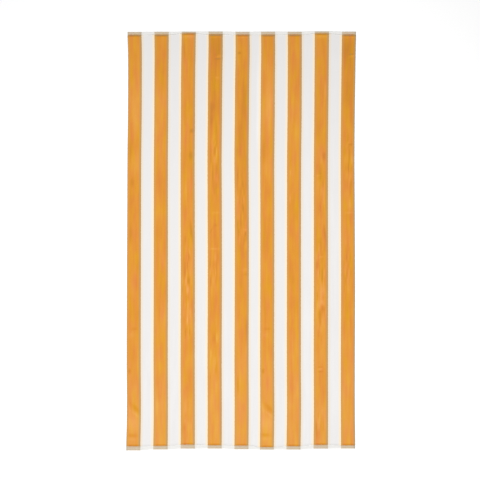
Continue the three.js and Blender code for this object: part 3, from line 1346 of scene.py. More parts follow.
MARKS = (
    # Creases where the near corners were folded, their sides painted with light and shade
    Mark((1, 6), 9, 158, -78, 90, 15, 0.3, -0.4),
    Mark((1, 6), 33, 138, -40, 76, 14, 0.4, -0.34),
    Mark((1, 6), 36, 160, -46, 90, 26, -0.3, 0.34),
    Mark((1, 6), 6, 112, 90, 100, 24, 0.0, -0.25),
    Mark((1, 6), 26, 104, 90, 110, 80, 0.0, -0.3),
    Mark((1, 6), 20, 57, -2, 80, 14, -0.3, 0.42),
    Mark((1, 6), 22, 42, 0, 66, 16, 0.4, -0.2),
    # The first and sixth stripes, painted paler towards the far end
    Mark((1, 6), 27, 1400, 90, 460, 110, 0.0, -0.17),
    Mark((1, 6), 10, 308, 90, 34, 22, 0.0, 0.5),
    Mark((1, 6), 28, 475, 0, 50, 16, -0.2, 0.24),
    Mark((1, 6), 18, 450, 0, 48, 32, 0.0, -0.14),
    Mark((1, 6), 34, 1350, 90, 300, 64, 0.0, -0.24),
    Mark((1, 6), 36, 1130, 90, 230, 60, 0.0, -0.22),
    Mark((1, 6), 11, 1175, 90, 150, 30, 0.0, 0.2),
    Mark((1,), 20, 1052, 90, 60, 24, 0.0, 0.26),
    Mark((1,), 12, 842, 90, 120, 26, 0.0, 0.24),
    # The second and seventh, painted paler there too
    Mark((2, 7), 27, 1290, 90, 560, 110, 0.0, -0.15),
    Mark((2, 7), 10, 172, 90, 110, 26, 0.0, -0.2),
    Mark((2,), 38, 751, 90, 110, 50, 0.0, -0.14),
    Mark((7,), 22, 675, 90, 130, 60, 0.0, 0.14),
    Mark((7,), 13, 1092, 90, 40, 9, 0.0, -0.34),
    Mark((7,), 11, 989, 90, 60, 9, 0.0, -0.4),
    # The third and eighth, which have the most creases and painted dark and pale marks
    Mark((3,), 10, 1579, 98, 110, 15, 0.0, 0.3),
    Mark((3,), 44, 1258, 0, 28, 26, 0.0, 0.55),
    Mark((3, 8), 40, 1160, 90, 56, 26, -0.2, 0.36),
    Mark((8,), 42, 1421, 90, 110, 9, 0.2, -0.5),
    Mark((8,), 18, 1080, 0, 32, 12, 0.2, -0.3),
    Mark((3,), 20, 1020, 90, 160, 10, 0.0, -0.24),
    Mark((3, 8), 43, 850, -84, 130, 11, -0.2, 0.45),
    Mark((3,), 34, 780, -75, 60, 10, 0.0, -0.36),
    Mark((8,), 28, 759, 0, 30, 12, 0.2, -0.3),
    Mark((3, 8), 36, 615, 90, 110, 44, 0.0, -0.26),
    Mark((8,), 36, 556, 90, 44, 22, 0.0, 0.4),
    Mark((8,), 31, 672, 90, 44, 20, 0.0, 0.32),
    Mark((8,), 30, 580, 90, 34, 16, 0.0, -0.4),
    Mark((3,), 25, 510, 90, 60, 10, 0.1, -0.55),
    Mark((3, 8), 18, 455, 90, 80, 10, -0.1, 0.42),
    Mark((3,), 35, 461, 90, 50, 9, 0.0, 0.32),
    Mark((8,), 25, 315, 0, 32, 10, 0.3, -0.6),
    Mark((8,), 25, 324, 0, 32, 9, -0.1, 0.3),
    Mark((8,), 25, 306, 0, 32, 9, -0.1, 0.3),
    Mark((3, 8), 30, 250, 90, 210, 70, 0.0, 0.18),
    Mark((3, 8), 17, 130, 90, 50, 10, 0.0, 0.32),
    Mark((3, 8), 12, 65, 90, 110, 22, 0.0, 0.3),
    Mark((3, 8), 27, 16, 0, 90, 7, 0.0, 0.3),
    Mark((3, 8), 27, 1636, 0, 110, 40, 0.0, -0.35),
    # The fourth and ninth, painted dark at the far end
    Mark((4, 9), 27, 1600, 90, 280, 130, 0.0, 0.3),
    Mark((4, 9), 27, 1410, 90, 460, 120, 0.0, 0.18),
    Mark((4, 5, 9), 27, 1632, 0, 110, 24, 0.0, -0.25),
    Mark((9,), 27, 1622, 0, 90, 60, 0.0, -0.15),
    Mark((4, 9), 40, 1552, 3, 46, 10, -0.3, -0.62),
    Mark((4,), 39, 1543, 0, 42, 11, -0.3, 0.34),
    Mark((9,), 37, 1560, 0, 26, 10, 0.0, 0.36),
    Mark((4,), 35, 1468, 0, 28, 14, 0.2, -0.3),
    Mark((4,), 12, 1353, 90, 70, 44, 0.0, 0.3),
    Mark((4,), 12, 1302, 90, 110, 30, 0.0, 0.24),
    Mark((4, 9), 27, 1205, 70, 50, 12, 0.1, -0.24),
    Mark((9,), 38, 1203, 0, 28, 13, -0.2, 0.4),
    Mark((4, 9), 36, 1072, 86, 70, 13, 0.1, -0.28),
    Mark((9,), 36, 965, 90, 90, 16, 0.0, -0.3),
    Mark((4, 9), 30, 933, 2, 70, 11, 0.2, -0.3),
    Mark((4,), 30, 886, 0, 36, 10, -0.2, 0.36),
    Mark((4,), 12, 862, 60, 60, 11, 0.0, 0.22),
    Mark((4,), 27, 791, -4, 84, 11, 0.2, -0.28),
    Mark((4, 9), 12, 707, 90, 64, 20, 0.0, -0.22),
    # The fifth, and the white beside it, which is painted paler next to the sixth
    Mark((5,), 27, 870, 90, 700, 110, 0.0, 0.08),
    Mark((5,), 13, 1566, 0, 24, 17, 0.0, 0.55),
    Mark((5,), 34, 1400, 90, 430, 60, 0.0, 0.2),
    Mark((5,), 30, 1180, 90, 430, 66, 0.0, 0.22),
    Mark((5,), 9, 1175, 90, 110, 13, 0.0, 0.28),
    Mark((5,), 41, 850, 90, 28, 10, -0.2, 0.55),
    Mark((5,), 41, 865, 0, 20, 10, 0.2, -0.4),
    Mark((5,), 45, 806, 90, 60, 22, 0.0, -0.26),
    Mark((5,), 43, 690, 2, 44, 16, -0.2, 0.24),
    Mark((5,), 41, 709, 2, 50, 14, 0.2, -0.22),
    Mark((5,), 47, 470, 90, 180, 13, 0.0, 0.42),
    Mark((5,), 12, 248, 90, 120, 9, 0.0, 0.42),
    Mark((5,), 91, 1370, 90, 800, 26, 0.0, -0.55),
    # White pile painted darker or paler, and the far ends of the white stripes, where less of the shade
    # line is painted
    Mark((1,), 68, 1500, 90, 340, 40, 0.0, 0.25),
    Mark((6,), 80, 825, 90, 1900, 56, 0.0, 0.2),
    Mark((7, 8), 80, 825, 90, 2300, 56, 0.0, -0.16),
    Mark((1, 2, 3, 4, 5, 6, 7, 8), 80, 1637, 0, 90, 12, 0.0, -0.4),
)


@dataclass(frozen=True)
class Brushing:
    """A soft oval stretch of some orange stripes where the nap was brushed into short streaks.

    Attributes:
        stripes: the orange stripes that have it, counted from the left.
        inset: its middle, from the stripe's left border.
        along: its middle, from the towel's near end.
        length: its whole length, along the stripe.
        width: its whole width.
        strength: how dark and pale the streaks turn in its middle.
    """

    stripes: tuple[int, ...]
    inset: float
    along: float
    length: float
    width: float
    strength: float


BRUSHINGS = (
    Brushing((3, 8), 27, 640, 620, 80, 0.46),
    Brushing((3, 8), 22, 100, 220, 80, 0.3),
    Brushing((4, 9), 22, 705, 300, 70, 0.41),
    Brushing((4, 9), 30, 1130, 420, 80, 0.34),
    Brushing((5,), 27, 960, 520, 80, 0.38),
    Brushing((8,), 36, 1060, 420, 70, 0.38),
    Brushing((4,), 27, 380, 420, 80, 0.3),
)


LEAST_SHARE = 0.06  # the share of a pile's height that its very edge keeps


def rounded(reach: float, steps: int) -> tuple[np.ndarray, np.ndarray]:
    """Rounds the edge of a pile over a quarter of an oval.

    Args:
        reach: how far in the rounding reaches.
        steps: how many steps it takes.

    Returns:
        Distances in from the edge, and the share of the pile's whole height at each.
    """
    angles = np.linspace(0, math.pi / 2, steps + 1)
    return reach * (1 - np.cos(angles)), np.maximum(np.sin(angles), LEAST_SHARE)


def rows_between(near: np.ndarray, far: np.ndarray, count: int) -> np.ndarray:
    """Spaces rows evenly between two lines, at each column.

    Args:
        near: where the near line crosses each column.
        far: where the far line crosses it.
        count: how many steps there are between them.

    Returns:
        The rows strictly between the lines.
    """
    shares = np.linspace(0, 1, count + 1)[1:-1]
    return blend(near[:, None], far[:, None], shares[None, :])


@dataclass
class CutPile:
    """The cut pile of the front, which also wraps the turned side edges as far as their sewing.

    Attributes:
        cloth: the cloth as it lies.
        velour: what the pile wears.
        yarn: what its hidden foot wears.
        top: how high the tips of the pile stand.
        root: how high its foot lies.
        turned_under: how far the side edges are turned under.
        tuck: the rim of what is turned under, as distances out from its edge and heights.
        seam_inset: how far in from the side edges they are sewn.
        groove: the groove that this sewing draws in below, as distances in from it and heights.
        flat_again_by: how far out from the sewing the underside is flat again.
        side_reach: how far in from a side edge its rounding reaches.
        side_steps: the steps round it.
        front_clear: how far past the rounding the front's own columns begin.
        end_reach: how far in from a hem the pile is rounded.
        end_steps: the steps of that rounding.
        column_step: the widest that a column of the front may be.
        row_count: the rows of the front between its rounded ends.
        shade_line_at: how far in from a hem the painted shade line along the pile's edge, where the pile is
            also pressed, is darkest.
        shade_line_width: how wide that painted shade line is.
        shade_line_near: how dark it is painted at the near end, where the far end has 1.
        streak_depth: how deep the streaks of the nap are.
        streaks: the long streaks and the short ones.
        wave_depth: how deep the waves of the nap are.
        waves: the waves and the broad swells.
        seam_depth: how far the sewing of the side edges draws the front down.
        seam_width: how wide it does so.
        brushed: the streaks inside BRUSHINGS.
        near_painted_sheen: how much paler the near end is painted, a painted sheen.
        near_painted_sheen_by: the share of the length by which that ends.
        foot_inset: how far in from the turned-under edge and from a hem the hidden face begins.
        foot_depth: how far below the foot of the pile that face lies.
        foot_steps: its steps each way.
    """

    cloth: LaidCloth
    velour: bpy.types.Material
    yarn: bpy.types.Material
    top: float = 4.0
    root: float = 2.0
    turned_under: float = 9.4
    tuck: tuple[tuple[float, float], ...] = ((0.0, 1.6), (0.1, 0.7), (0.5, 0.2))
    seam_inset: float = 7.4
    groove: tuple[tuple[float, float], ...] = ((0.8, 0.25), (0.0, 0.9), (-0.8, 0.25))
    flat_again_by: float = 1.6
    side_reach: float = 3.2
    side_steps: int = 8
    front_clear: float = 0.5
    end_reach: float = 3.2
    end_steps: int = 6
    column_step: float = 3.4
    row_count: int = 282
    shade_line_at: float = 2.2
    shade_line_width: float = 2.2
    shade_line_near: float = 0.6
    streak_depth: float = 0.07
    streaks: Layers = ((0.7, Unevenness(3, 9.5, 100.0)), (0.5, Unevenness(5, 7.5, 30.0)))
    wave_depth: float = 0.14
    waves: Layers = ((0.5, Unevenness(7, 55.0, 90.0)), (0.6, Unevenness(11, 130.0, 210.0)))
    seam_depth: float = 0.18
    seam_width: float = 1.8
    brushed: Unevenness = Unevenness(19, 4.8, 32.0)
    near_painted_sheen: float = 0.3
    near_painted_sheen_by: float = 0.42
    foot_inset: tuple[float, float] = (0.3, 0.4)
    foot_depth: float = 0.15
    foot_steps: int = 60

    def side_section(self) -> np.ndarray:
        """Follows the pile round the left edge, from under the towel to its front.

        Returns:
            Distances in from the edge and heights.
        """
        tuck = [(self.turned_under - out, height) for out, height in self.tuck]
        seam = [(self.seam_inset + further, height) for further, height in self.groove]
        flat_from = self.seam_inset - self.flat_again_by
        flat = [(inset, 0.0) for inset in (flat_from, (flat_from + self.side_reach) / 2)]
        angles = np.radians(np.linspace(-90, 90, self.side_steps + 1))
        middle = self.top / 2
        edge = [
            (self.side_reach * (1 - math.cos(a)), middle + middle * math.sin(a)) for a in angles
        ]
        return np.array([*tuck, *seam, *flat, *edge])

    def sections(self) -> tuple[np.ndarray, np.ndarray, np.ndarray]:
        """Follows the pile from under one side edge, over the front, to under the other.

        Returns:
            Places across the width, heights, and places on the cloth as it ran before the turn.
        """
        left = self.side_section()
        places = self.cloth.pattern.columns(self.column_step)
        first = self.side_reach + self.front_clear
        inner = places[(places > first) & (places < self.cloth.width - first)]
        right = left[::-1].copy()
        right[:, 0] = self.cloth.width - right[:, 0]
        front = np.column_stack([inner, np.full(len(inner), self.top)])
        line = np.vstack([left, front, right])
        run = np.concatenate([[0], np.cumsum(np.linalg.norm(np.diff(line, axis=0), axis=1))])
        return line[:, 0], line[:, 1], run - (run[-1] - self.cloth.width) / 2

    def marked(self, across: np.ndarray, along: np.ndarray) -> tuple[np.ndarray, np.ndarray]:
        """Adds up the marks in the pile, its brushed streaks and the painted sheen towards the near end.

        Args:
            across: places across the width.
            along: places along the length.

        Returns:
            How high they stand, and how much darker or paler they are painted.
        """
        starts = [stripe.start for stripe in self.cloth.pattern.stripes()[::2]]
        height, shade = np.zeros_like(along), np.zeros_like(along)
        for mark in MARKS:
            for number in mark.stripes:
                middle = (starts[number - 1] + mark.inset, mark.along)
                bump = bump_over(across, along, middle, mark.turn, (mark.length, mark.width))
                height += mark.height * bump
                shade += mark.shade * bump
        streaks = self.brushed.at(across, along)
        for brushing in BRUSHINGS:
            for number in brushing.stripes:
                middle = (starts[number - 1] + brushing.inset, brushing.along)
                size = (brushing.length, brushing.width)
                bump = bump_over(across, along, middle, 90, size)
                shade += brushing.strength * bump * streaks
        # Painted sheen: the near end is painted paler.
        shade -= self.near_painted_sheen * eased(1 - along / (self.near_painted_sheen_by * self.cloth.length))
        return height, shade

    def relief(self, across: np.ndarray, along: np.ndarray) -> np.ndarray:
        """Shapes the brushed nap: fine streaks along the warp over low broad waves.

        Args:
            across: places across the width.
            along: places along the length.

        Returns:
            How far the nap stands up at each place.
        """
        seam = np.zeros_like(across)
        for from_edge in (across, self.cloth.width - across):
            seam -= self.seam_depth * np.exp(-(((from_edge - self.seam_inset) / self.seam_width) ** 2))
        nap = self.streak_depth * layered(self.streaks, across, along)
        return nap + self.wave_depth * layered(self.waves, across, along) + seam

    def front(self) -> Grid:
        """Builds the face that shows.

        Returns:
            Its points.
        """
        across, height, run = self.sections()
        near_hem = self.cloth.end_value(across, EndValue.NEAR_HEM)
        far_hem = self.cloth.end_value(across, EndValue.FAR_HEM)
        insets, shares = rounded(self.end_reach, self.end_steps)
        near = near_hem[:, None] + insets
        far = self.cloth.length - far_hem[:, None] - insets[::-1]
        between = rows_between(near[:, -1], far[:, 0], self.row_count)
        along = np.hstack([near, between, far])
        fullness = np.concatenate([shares, np.ones(between.shape[1]), shares[::-1]])[None, :]
        side = np.where(across < self.cloth.width / 2, 1, -1)[:, None]
        from_side = np.minimum(across, self.cloth.width - across)[:, None]
        at_side = 1 - eased(from_side / (2 * self.side_reach))
        moved = across[:, None] + side * at_side * (1 - fullness) * self.end_reach
        on_front = np.clip((height[:, None] - self.root) / (self.top - self.root), 0, 1) * fullness
        mark_height, shade = self.marked(moved, along)
        from_hem = np.minimum(along - near_hem[:, None], self.cloth.length - far_hem[:, None] - along)
        # Painted shade: a dark line along the pile's edge by each hem, where the pile is also pressed,
        # weaker at the near end.
        pressed_and_shaded = np.exp(-(((from_hem - self.shade_line_at) / self.shade_line_width) ** 2))
        pressed_and_shaded *= blend(self.shade_line_near, 1.0, along / self.cloth.length)
        shade = np.clip(shade + pressed_and_shaded, -1, 1)
        z = self.root + (height[:, None] - self.root) * fullness
        z = z + on_front * (self.relief(moved, along) + mark_height)
        u = (run - run[0]) / (run[-1] - run[0])
        sheet = np.stack(np.broadcast_arrays(u[:, None], along / self.cloth.length), axis=-1)
        return Grid(self.cloth.place(moved, along, z), on_cloth(run[:, None], along), sheet, shade)

    def behind(self) -> Grid:
        """Builds the hidden face that meets the ground.

        Returns:
            Its points.
        """
        side_inset, end_inset = self.foot_inset
        first = self.turned_under + side_inset
        across = np.linspace(first, self.cloth.width - first, self.foot_steps)
        near = self.cloth.end_value(across, EndValue.NEAR_HEM) + end_inset
        far = self.cloth.length - self.cloth.end_value(across, EndValue.FAR_HEM) - end_inset
        along = np.column_stack([near, rows_between(near, far, self.foot_steps), far])
        points = self.cloth.place(across[:, None], along, self.root - self.foot_depth)
        flat = on_cloth(across[:, None], along)
        sheet = flat / (np.array([self.cloth.width, self.cloth.length]) * MM)
        return Grid(points, flat, sheet, np.zeros(along.shape))

    def build(self) -> bpy.types.Object:
        """Builds the cut pile.

        Returns:
            The piece.
        """
        materials = [self.velour, self.yarn]
        skin = closed_skin("cut_pile", self.front(), self.behind(), materials, inner_wears=1)
        return part_of_towel(skin)


@dataclass
class LoopPile:
    """The uncut loops of the back, between the turned side edges and the hems.

    Attributes:
        cloth: the cloth as it lies.
        terry: what the loops wear.
        yarn: what their hidden foot wears.
        root: how high the foot of the loops lies.
        side_inset: how far in from the side edges they begin.
        end_inset: how far in from the ends they begin.
        reach: how far in their rounded edge reaches.
        edge_steps: the steps of that rounding.
        step: how far apart the mesh's columns and rows lie.
        loop_depth: how far the loops stand out of level.
        loops: the single loops.
        clumps: the clumps that they stand in, which tell half as much.
        foot_rise: how far above the foot of the loops the hidden face lies.
        foot_every: how many columns or rows of the back that face has one for.
    """

    cloth: LaidCloth
    terry: bpy.types.Material
    yarn: bpy.types.Material
    root: float = 2.3
    side_inset: float = 9.3
    end_inset: float = 12.9
    reach: float = 1.6
    edge_steps: int = 4
    step: float = 4.2
    loop_depth: float = 0.3
    loops: Unevenness = Unevenness(13, 5.2, 6.4)
    clumps: Unevenness = Unevenness(17, 30.0, 46.0)
    foot_rise: float = 0.2
    foot_every: int = 6

    def places(
        self, inset: float, size: float, insets: np.ndarray, shares: np.ndarray
    ) -> tuple[np.ndarray, np.ndarray]:
        """Spaces rows of loops over the towel one way.

        Args:
            inset: how far in from the towel's edge the loops begin.
            size: the towel's size that way.
            insets: the steps of the rounded edge.
            shares: the share of the loops' height at each.

        Returns:
            The rows' places, and the share of the loops' height at each.
        """
        edge = inset + insets
        inner = np.arange(edge[-1], size - edge[-1], self.step)[1:]
        places = np.concatenate([edge, inner, size - edge[::-1]])
        return places, np.concatenate([shares, np.ones(len(inner)), shares[::-1]])

    def face(self, across: np.ndarray, along: np.ndarray, height: np.ndarray | float) -> Grid:
        """Lays out one face of the loop pile.

        Args:
            across: places across the width.
            along: places along the length.
            height: their heights, or the one height of them all.

        Returns:
            Its points.
        """
        flat = on_cloth(across, along)
        sheet = flat / (np.array([self.cloth.width, self.cloth.length]) * MM)
        return Grid(self.cloth.place(across, along, height), flat, sheet, np.zeros(across.shape))

    def faces(self) -> tuple[Grid, Grid]:
        """Builds the looped face and the hidden one that meets the ground.

        Returns:
            Both, with their columns from right to left so that the loops face down.
        """
        insets, shares = rounded(self.reach, self.edge_steps)
        across, full_across = self.places(self.side_inset, self.cloth.width, insets, shares)
        along, full_along = self.places(self.end_inset, self.cloth.length, insets, shares)
        across, full_across = across[::-1], full_across[::-1]
        u, v = np.broadcast_arrays(across[:, None], along[None, :])
        loops = np.abs(self.loops.at(u, v)) + np.abs(self.clumps.at(u, v)) / 2
        fullness = full_across[:, None] * full_along[None, :]
        back = self.face(u, v, self.root * (1 - fullness) + self.loop_depth * loops * fullness)
        across, along = (np.append(line[:: self.foot_every], line[-1]) for line in (across, along))
        u, v = np.broadcast_arrays(across[:, None], along[None, :])
        hidden = self.face(u, v, self.root + self.foot_rise)
        return back, hidden

    def build(self) -> bpy.types.Object:
        """Builds the loop pile.

        Returns:
            The piece.
        """
        materials = [self.terry, self.yarn]
        return part_of_towel(closed_skin("loop_pile", *self.faces(), materials, inner_wears=1))


# ---------------------------------------------------------------- sewing and loose pile


@dataclass(frozen=True)
class Lock:
    """One small closed shape, such as a stitch or a lock of pile, as rings along its length.

    Attributes:
        sides: how many sides each ring has.
        rings: the share of the length, and of the full radius, at each ring.
    """

    sides: int
    rings: tuple[tuple[float, float], ...]

    def faces(self) -> tuple[np.ndarray, np.ndarray]:
        """Lists the faces of one lock.

        Returns:
            The faces round it, and the two that close its ends.
        """
        ring = np.arange(self.sides)
        following = (ring + 1) % self.sides
        one = np.column_stack([following, ring, ring + self.sides, following + self.sides])
        last = (len(self.rings) - 1) * self.sides
        around = np.vstack([one + start for start in range(0, last, self.sides)])
        return around, np.stack([ring, ring[::-1] + last])

    def points(self, foot: np.ndarray, tip: np.ndarray, radius: tuple[float, float]) -> np.ndarray:
        """Shapes many locks.

        Args:
            foot: where each begins, in metres.
            tip: where each ends.
            radius: the full radius sideways and upwards, in millimetres.

        Returns:
            The points of each, ring by ring.
        """
        reach = tip - foot
        forward = reach / np.linalg.norm(reach, axis=1, keepdims=True)
        aside = np.cross(forward, [0.0, 0.0, 1.0])
        aside /= np.linalg.norm(aside, axis=1, keepdims=True)
        up = np.cross(aside, forward)
        rings = []
        for share, fullness in self.rings:
            for angle in math.tau * np.arange(self.sides) / self.sides:
                sideways = aside * math.cos(angle) * radius[0]
                upwards = up * math.sin(angle) * radius[1]
                rings.append(foot + share * reach + fullness * MM * (sideways + upwards))
        return np.stack(rings, axis=1)

    def scatter(
        self,
        name: str,
        ends: tuple[np.ndarray, np.ndarray],
        radius: tuple[float, float],
        flat: np.ndarray,
        cloth: LaidCloth,
        material: bpy.types.Material,
    ) -> bpy.types.Object:
        """Joins many locks into one piece.

        Args:
            name: the piece's name.
            ends: where each lock begins and ends, in metres.
            radius: the full radius sideways and upwards, in millimetres.
            flat: the place of each on the flat cloth, in metres.
            cloth: the cloth that they are on.
            material: what they wear.

        Returns:
            The piece.
        """
        points = self.points(*ends, radius)
        count, each = points.shape[:2]
        first = np.arange(count)[:, None, None] * each
        around, caps = self.faces()
        faces = (around[None] + first).reshape(-1, 4).tolist()
        faces += (caps[None] + first).reshape(-1, self.sides).tolist()
        places = (flat[:, None] + (points - points[:, :1])[..., :2]).reshape(-1, 2)
        sheet = np.clip(places / (np.array([cloth.width, cloth.length]) * MM), 0, 1)
        maps = {CLOTH_MAP: places, PRINT_MAP: sheet}
        return part_of_towel(mesh_object(name, points.reshape(-1, 3), faces, maps, [material]))


@dataclass(frozen=True)
class SeamRow:
    """A straight row of stitches on the flat cloth, from start to end, at one height."""

    start: tuple[float, float]
    end: tuple[float, float]
    height: float


@dataclass
class Stitching:
    """Lockstitch: a row along each end hem, on both faces, and one along each turned side edge.

    Attributes:
        cloth: the cloth as it lies.
        thread: what the stitches wear.
        pitch: how far apart the stitches begin.
        stitch: how long each one shows.
        radius: a stitch's radius sideways and upwards.
        end_inset: how far in from the ends the hems are sewn.
        side_inset: how far in from the side edges those are sewn.
        row_inset: how far in from the side edges the rows of the hems begin.
        front_height: how high the stitches of a hem lie on the front.
        back_height: how high they lie on the back.
        groove_height: how high those of a side edge lie, in their groove.
        shape: the shape of a stitch.
    """

    cloth: LaidCloth
    thread: bpy.types.Material
    pitch: float = 3.0
    stitch: float = 2.5
    radius: tuple[float, float] = (0.36, 0.28)
    end_inset: float = 8.2
    side_inset: float = 7.4
    row_inset: float = 1.5
    front_height: float = 2.6
    back_height: float = 0.3
    groove_height: float = 0.72
    shape: Lock = Lock(6, ((0.0, 0.35), (0.2, 1.0), (0.8, 1.0), (1.0, 0.35)))

    def rows(self) -> list[SeamRow]:
        """Lists the rows of stitches.

        Returns:
            The rows of the hems, and then those of the side edges.
        """
        width, length = self.cloth.width, self.cloth.length
        found = []
        for along in (self.end_inset, length - self.end_inset):
            for height in (self.front_height, self.back_height):
                found.append(SeamRow((self.row_inset, along), (width - self.row_inset, along), height))
        for across in (self.side_inset, width - self.side_inset):
            ends = (2 * self.end_inset, length - 2 * self.end_inset)
            found.append(SeamRow((across, ends[0]), (across, ends[1]), self.groove_height))
        return found

    def in_row(self, row: SeamRow) -> tuple[np.ndarray, np.ndarray, np.ndarray]:
        """Spaces the stitches of a row.

        Args:
            row: the row.

        Returns:
            Where each begins and ends, and its place on the flat cloth.
        """
        start, end = np.array(row.start), np.array(row.end)
        length = np.linalg.norm(end - start)
        steps = np.arange(0, length - self.stitch, self.pitch)[:, None]
        begins = start + (end - start) * steps / length
        ends = begins + (end - start) * self.stitch / length
        if row.height == self.front_height:
            hem = EndValue.NEAR_HEM if row.start[1] < self.cloth.length / 2 else EndValue.FAR_HEM
            shown = self.cloth.end_value(begins[:, 0], hem) > self.end_inset
            begins, ends = begins[shown], ends[shown]
        foot = self.cloth.place(begins[:, 0], begins[:, 1], row.height)
        tip = self.cloth.place(ends[:, 0], ends[:, 1], row.height)
        return foot, tip, begins * MM

    def build(self) -> bpy.types.Object:
        """Builds all the stitches.

        Returns:
            The piece.
        """
        foot, tip, flat = (np.vstack(parts) for parts in zip(*map(self.in_row, self.rows())))
        return self.shape.scatter("hem_stitches", (foot, tip), self.radius, flat, self.cloth, self.thread)


@dataclass
class EdgeTufts:
    """Tufts of cut pile that lean out over the hems and stand out round the side edges.

    Attributes:
        cloth: the cloth as it lies.
        velour: what the tufts wear.
        shape: the shape of a tuft.
        radius: a tuft's radius sideways and upwards.
        seed: what the random numbers start from.
        spacing: how far apart pairs of tufts stand along a hem.
        stray: how far they stand out of that spacing.
        side_clear: how far in from the side edges the tufts of a hem begin.
        inset: how far in on the pile they are rooted, at least and at most.
        height: how high they are rooted, at least and at most.
        length: how long they are, at least and at most.
        lean: how far they lean sideways and upwards, as deviations in shares of their length.
        side_spacing: how far apart pairs of tufts stand along a side edge.
        side_stray: how far they stand out of that spacing.
        end_clear: how far in from the ends the tufts of a side edge begin.
        side_tilt: how far up they point, in degrees, at least and at most.
        side_middle: the middle of the side edge's rounding, as a distance in and a height.
        side_round: how far out from that middle and above it they are rooted.
        side_length: how long they are, at least and at most.
        side_lean: how far they lean along the edge, as a deviation in shares of their length.
    """

    cloth: LaidCloth
    velour: bpy.types.Material
    shape: Lock = Lock(4, ((0.0, 0.8), (0.55, 1.0), (1.0, 0.2)))
    radius: tuple[float, float] = (0.75, 0.6)  # real tufts are 0.4 mm in radius, drawn coarser to show
    seed: int = 23
    spacing: float = 1.7
    stray: float = 0.8
    side_clear: float = 4.0
    inset: tuple[float, float] = (0.9, 2.2)
    height: tuple[float, float] = (2.7, 3.5)
    length: tuple[float, float] = (1.4, 2.8)
    lean: tuple[float, float] = (0.35, 0.2)
    side_spacing: float = 2.3
    side_stray: float = 1.0
    end_clear: float = 15.0
    side_tilt: tuple[float, float] = (-35.0, 50.0)
    side_middle: tuple[float, float] = (2.6, 2.0)
    side_round: tuple[float, float] = (1.7, 1.2)
    side_length: tuple[float, float] = (0.8, 1.5)
    side_lean: float = 0.4

    def along_hem(self, random: np.random.Generator, hem: EndValue) -> tuple[np.ndarray, np.ndarray]:
        """Scatters tufts where the pile meets a hem.

        Args:
            random: where the scatter comes from.
            hem: which hem.

        Returns:
            Where each begins and ends on the flat cloth, as across, along and height.
        """
        across = np.arange(self.side_clear, self.cloth.width - self.side_clear, self.spacing)
        across = np.repeat(across, 2) + random.uniform(-self.stray, self.stray, 2 * len(across))
        count = len(across)
        inset = self.cloth.end_value(across, hem) + random.uniform(*self.inset, count)
        height = random.uniform(*self.height, count)
        length = random.uniform(*self.length, count)
        foot = np.column_stack([across, inset, height])
        sideways, upwards = (random.normal(0, lean, count) for lean in self.lean)
        tip = foot + np.column_stack([sideways, -np.ones(count), upwards]) * length[:, None]
        if hem is EndValue.FAR_HEM:
            for place in (foot, tip):
                place[:, 1] = self.cloth.length - place[:, 1]
        return foot, tip

    def along_side(self, random: np.random.Generator, left: bool) -> tuple[np.ndarray, np.ndarray]:
        """Scatters tufts round a side edge.

        Args:
            random: where the scatter comes from.
            left: True for the left edge.

        Returns:
            Where each begins and ends on the flat cloth, as across, along and height.
        """
        along = np.arange(self.end_clear, self.cloth.length - self.end_clear, self.side_spacing)
        along = np.repeat(along, 2) + random.uniform(-self.side_stray, self.side_stray, 2 * len(along))
        count = len(along)
        tilt = np.radians(random.uniform(*self.side_tilt, count))
        length = random.uniform(*self.side_length, count)
        (middle_in, middle_up), (out, above) = self.side_middle, self.side_round
        foot = np.column_stack([middle_in - out * np.cos(tilt), along, middle_up + above * np.sin(tilt)])
        step = np.column_stack([-np.cos(tilt), random.normal(0, self.side_lean, count), np.sin(tilt)])
        tip = foot + step * length[:, None]
        if not left:
            for place in (foot, tip):
                place[:, 0] = self.cloth.width - place[:, 0]
        return foot, tip

    def build(self) -> bpy.types.Object:
        """Builds all the tufts.

        Returns:
            The piece.
        """
        random = np.random.default_rng(self.seed)
        groups = [self.along_hem(random, hem) for hem in (EndValue.NEAR_HEM, EndValue.FAR_HEM)]
        groups += [self.along_side(random, left) for left in (True, False)]
        foot, tip = (np.vstack(parts) for parts in zip(*groups))
        ends = tuple(self.cloth.place(*place.T) for place in (foot, tip))
        flat = foot[:, :2] * MM
        return self.shape.scatter("edge_tufts", ends, self.radius, flat, self.cloth, self.velour)


# ---------------------------------------------------------------- the studio


@dataclass(frozen=True)
class Lamp:
    """A round soft lamp, aimed at a place on the floor, in metres and watts."""

    name: str
    place: tuple[float, float, float]
    target: tuple[float, float, float]
    size: float
    power: float


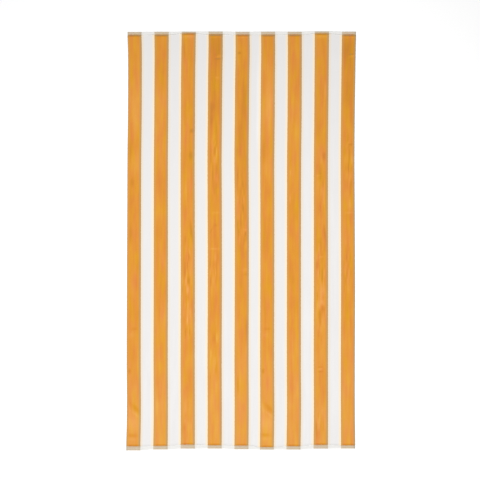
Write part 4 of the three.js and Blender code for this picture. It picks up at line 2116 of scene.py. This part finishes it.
@dataclass
class Studio:
    """A plain pale floor under an even bright ceiling, two soft lamps and a camera overhead.

    Its sizes are in metres, apart from the camera's lens and sensor, which are in millimetres.

    Attributes:
        middle: the middle of the towel, which the camera hangs over.
        floor_half: half the floor's width.
        floor_below: how far below the towel the floor lies, so that their faces stay apart.
        ceiling: how bright the ceiling is.
        lamps: the two lamps.
        lens: the camera's focal length.
        sensor: its sensor's width.
        view_width: how much of the floor it sees across.
        view_shift: how far to the side of the middle it hangs.
        sight: how far it sees, in heights above the floor.
    """

    middle: tuple[float, float]
    floor_half: float = 12.0
    floor_below: float = 0.0004
    ceiling: float = 0.32
    lamps: tuple[Lamp, ...] = (
        Lamp("side_lamp", (-0.8, -2.3, 6.5), (0.0, 0.0, 0.0), 2.4, 265.0),
        Lamp("top_lamp", (0.0, 0.1, 2.4), (0.0, 0.1, 0.0), 1.5, 24.5),
    )
    lens: float = 85.0
    sensor: float = 36.0
    view_width: float = 1.9
    view_shift: tuple[float, float] = (-0.0044, 0.0037)
    sight: float = 10.0

    def build_floor(self) -> None:
        """Lays the floor."""
        half, low = self.floor_half, -self.floor_below
        corners = np.array([(-half, -half, low), (half, -half, low), (half, half, low), (-half, half, low)])
        maps = {"floor": np.array([(0, 0), (1, 0), (1, 1), (0, 1)])}
        floor = mesh_object("studio_floor", corners, [[0, 1, 2, 3]], maps, [MattPaint().material()])

    def build_light(self) -> None:
        """Lights the studio."""
        world = bpy.data.worlds.new("studio")
        world.use_nodes = True
        background = world.node_tree.nodes["Background"]
        background.inputs["Color"].default_value = (1.0, 1.0, 1.0, 1.0)
        background.inputs["Strength"].default_value = self.ceiling
        bpy.context.scene.world = world
        for lamp in self.lamps:
            light = bpy.data.lights.new(lamp.name, "AREA")
            light.shape = "DISK"
            light.size = lamp.size
            light.energy = lamp.power
            holder = bpy.data.objects.new(lamp.name, light)
            holder.location = lamp.place
            aim = Vector(lamp.target) - Vector(lamp.place)
            holder.rotation_euler = aim.to_track_quat("-Z", "Y").to_euler()
            holder.visible_camera = False
            bpy.context.scene.collection.objects.link(holder)

    def build_camera(self) -> None:
        """Hangs the camera over the towel, looking straight down with the far end up."""
        data = bpy.data.cameras.new("overhead")
        data.lens = self.lens
        data.sensor_width = self.sensor
        camera = bpy.data.objects.new("overhead", data)
        height = self.view_width * self.lens / self.sensor
        x, y = (place + shift for place, shift in zip(self.middle, self.view_shift))
        camera.location = (x, y, height)
        data.clip_end = self.sight * height
        bpy.context.scene.collection.objects.link(camera)
        bpy.context.scene.camera = camera

    def build(self) -> None:
        """Builds the studio, and shows its light as it is, without a film curve."""
        self.build_floor()
        self.build_light()
        self.build_camera()
        bpy.context.scene.view_settings.view_transform = "Standard"


def main() -> None:
    """Builds the towel and the studio that it lies in."""
    logging.basicConfig(level=logging.INFO, format="%(name)s: %(message)s")
    low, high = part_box(NODE)
    middle = ((low[0] + high[0]) / 2, (low[1] + high[1]) / 2)
    pattern = StripePattern()
    cloth = LaidCloth(pattern, middle)
    Studio(middle).build()
    velour, yarn = CottonVelour(pattern).material(), GroundYarn().material()
    ground = GroundCloth(cloth, PlainWeave(pattern).material(), yarn).build()
    others = [
        CutPile(cloth, velour, yarn).build(),
        LoopPile(cloth, CottonTerry(pattern).material(), yarn).build(),
        Stitching(cloth, SewingThread().material()).build(),
        EdgeTufts(cloth, velour).build(),
    ]
    flat = (cloth.width * MM, cloth.length * MM)


if __name__ == "__main__":
    main()
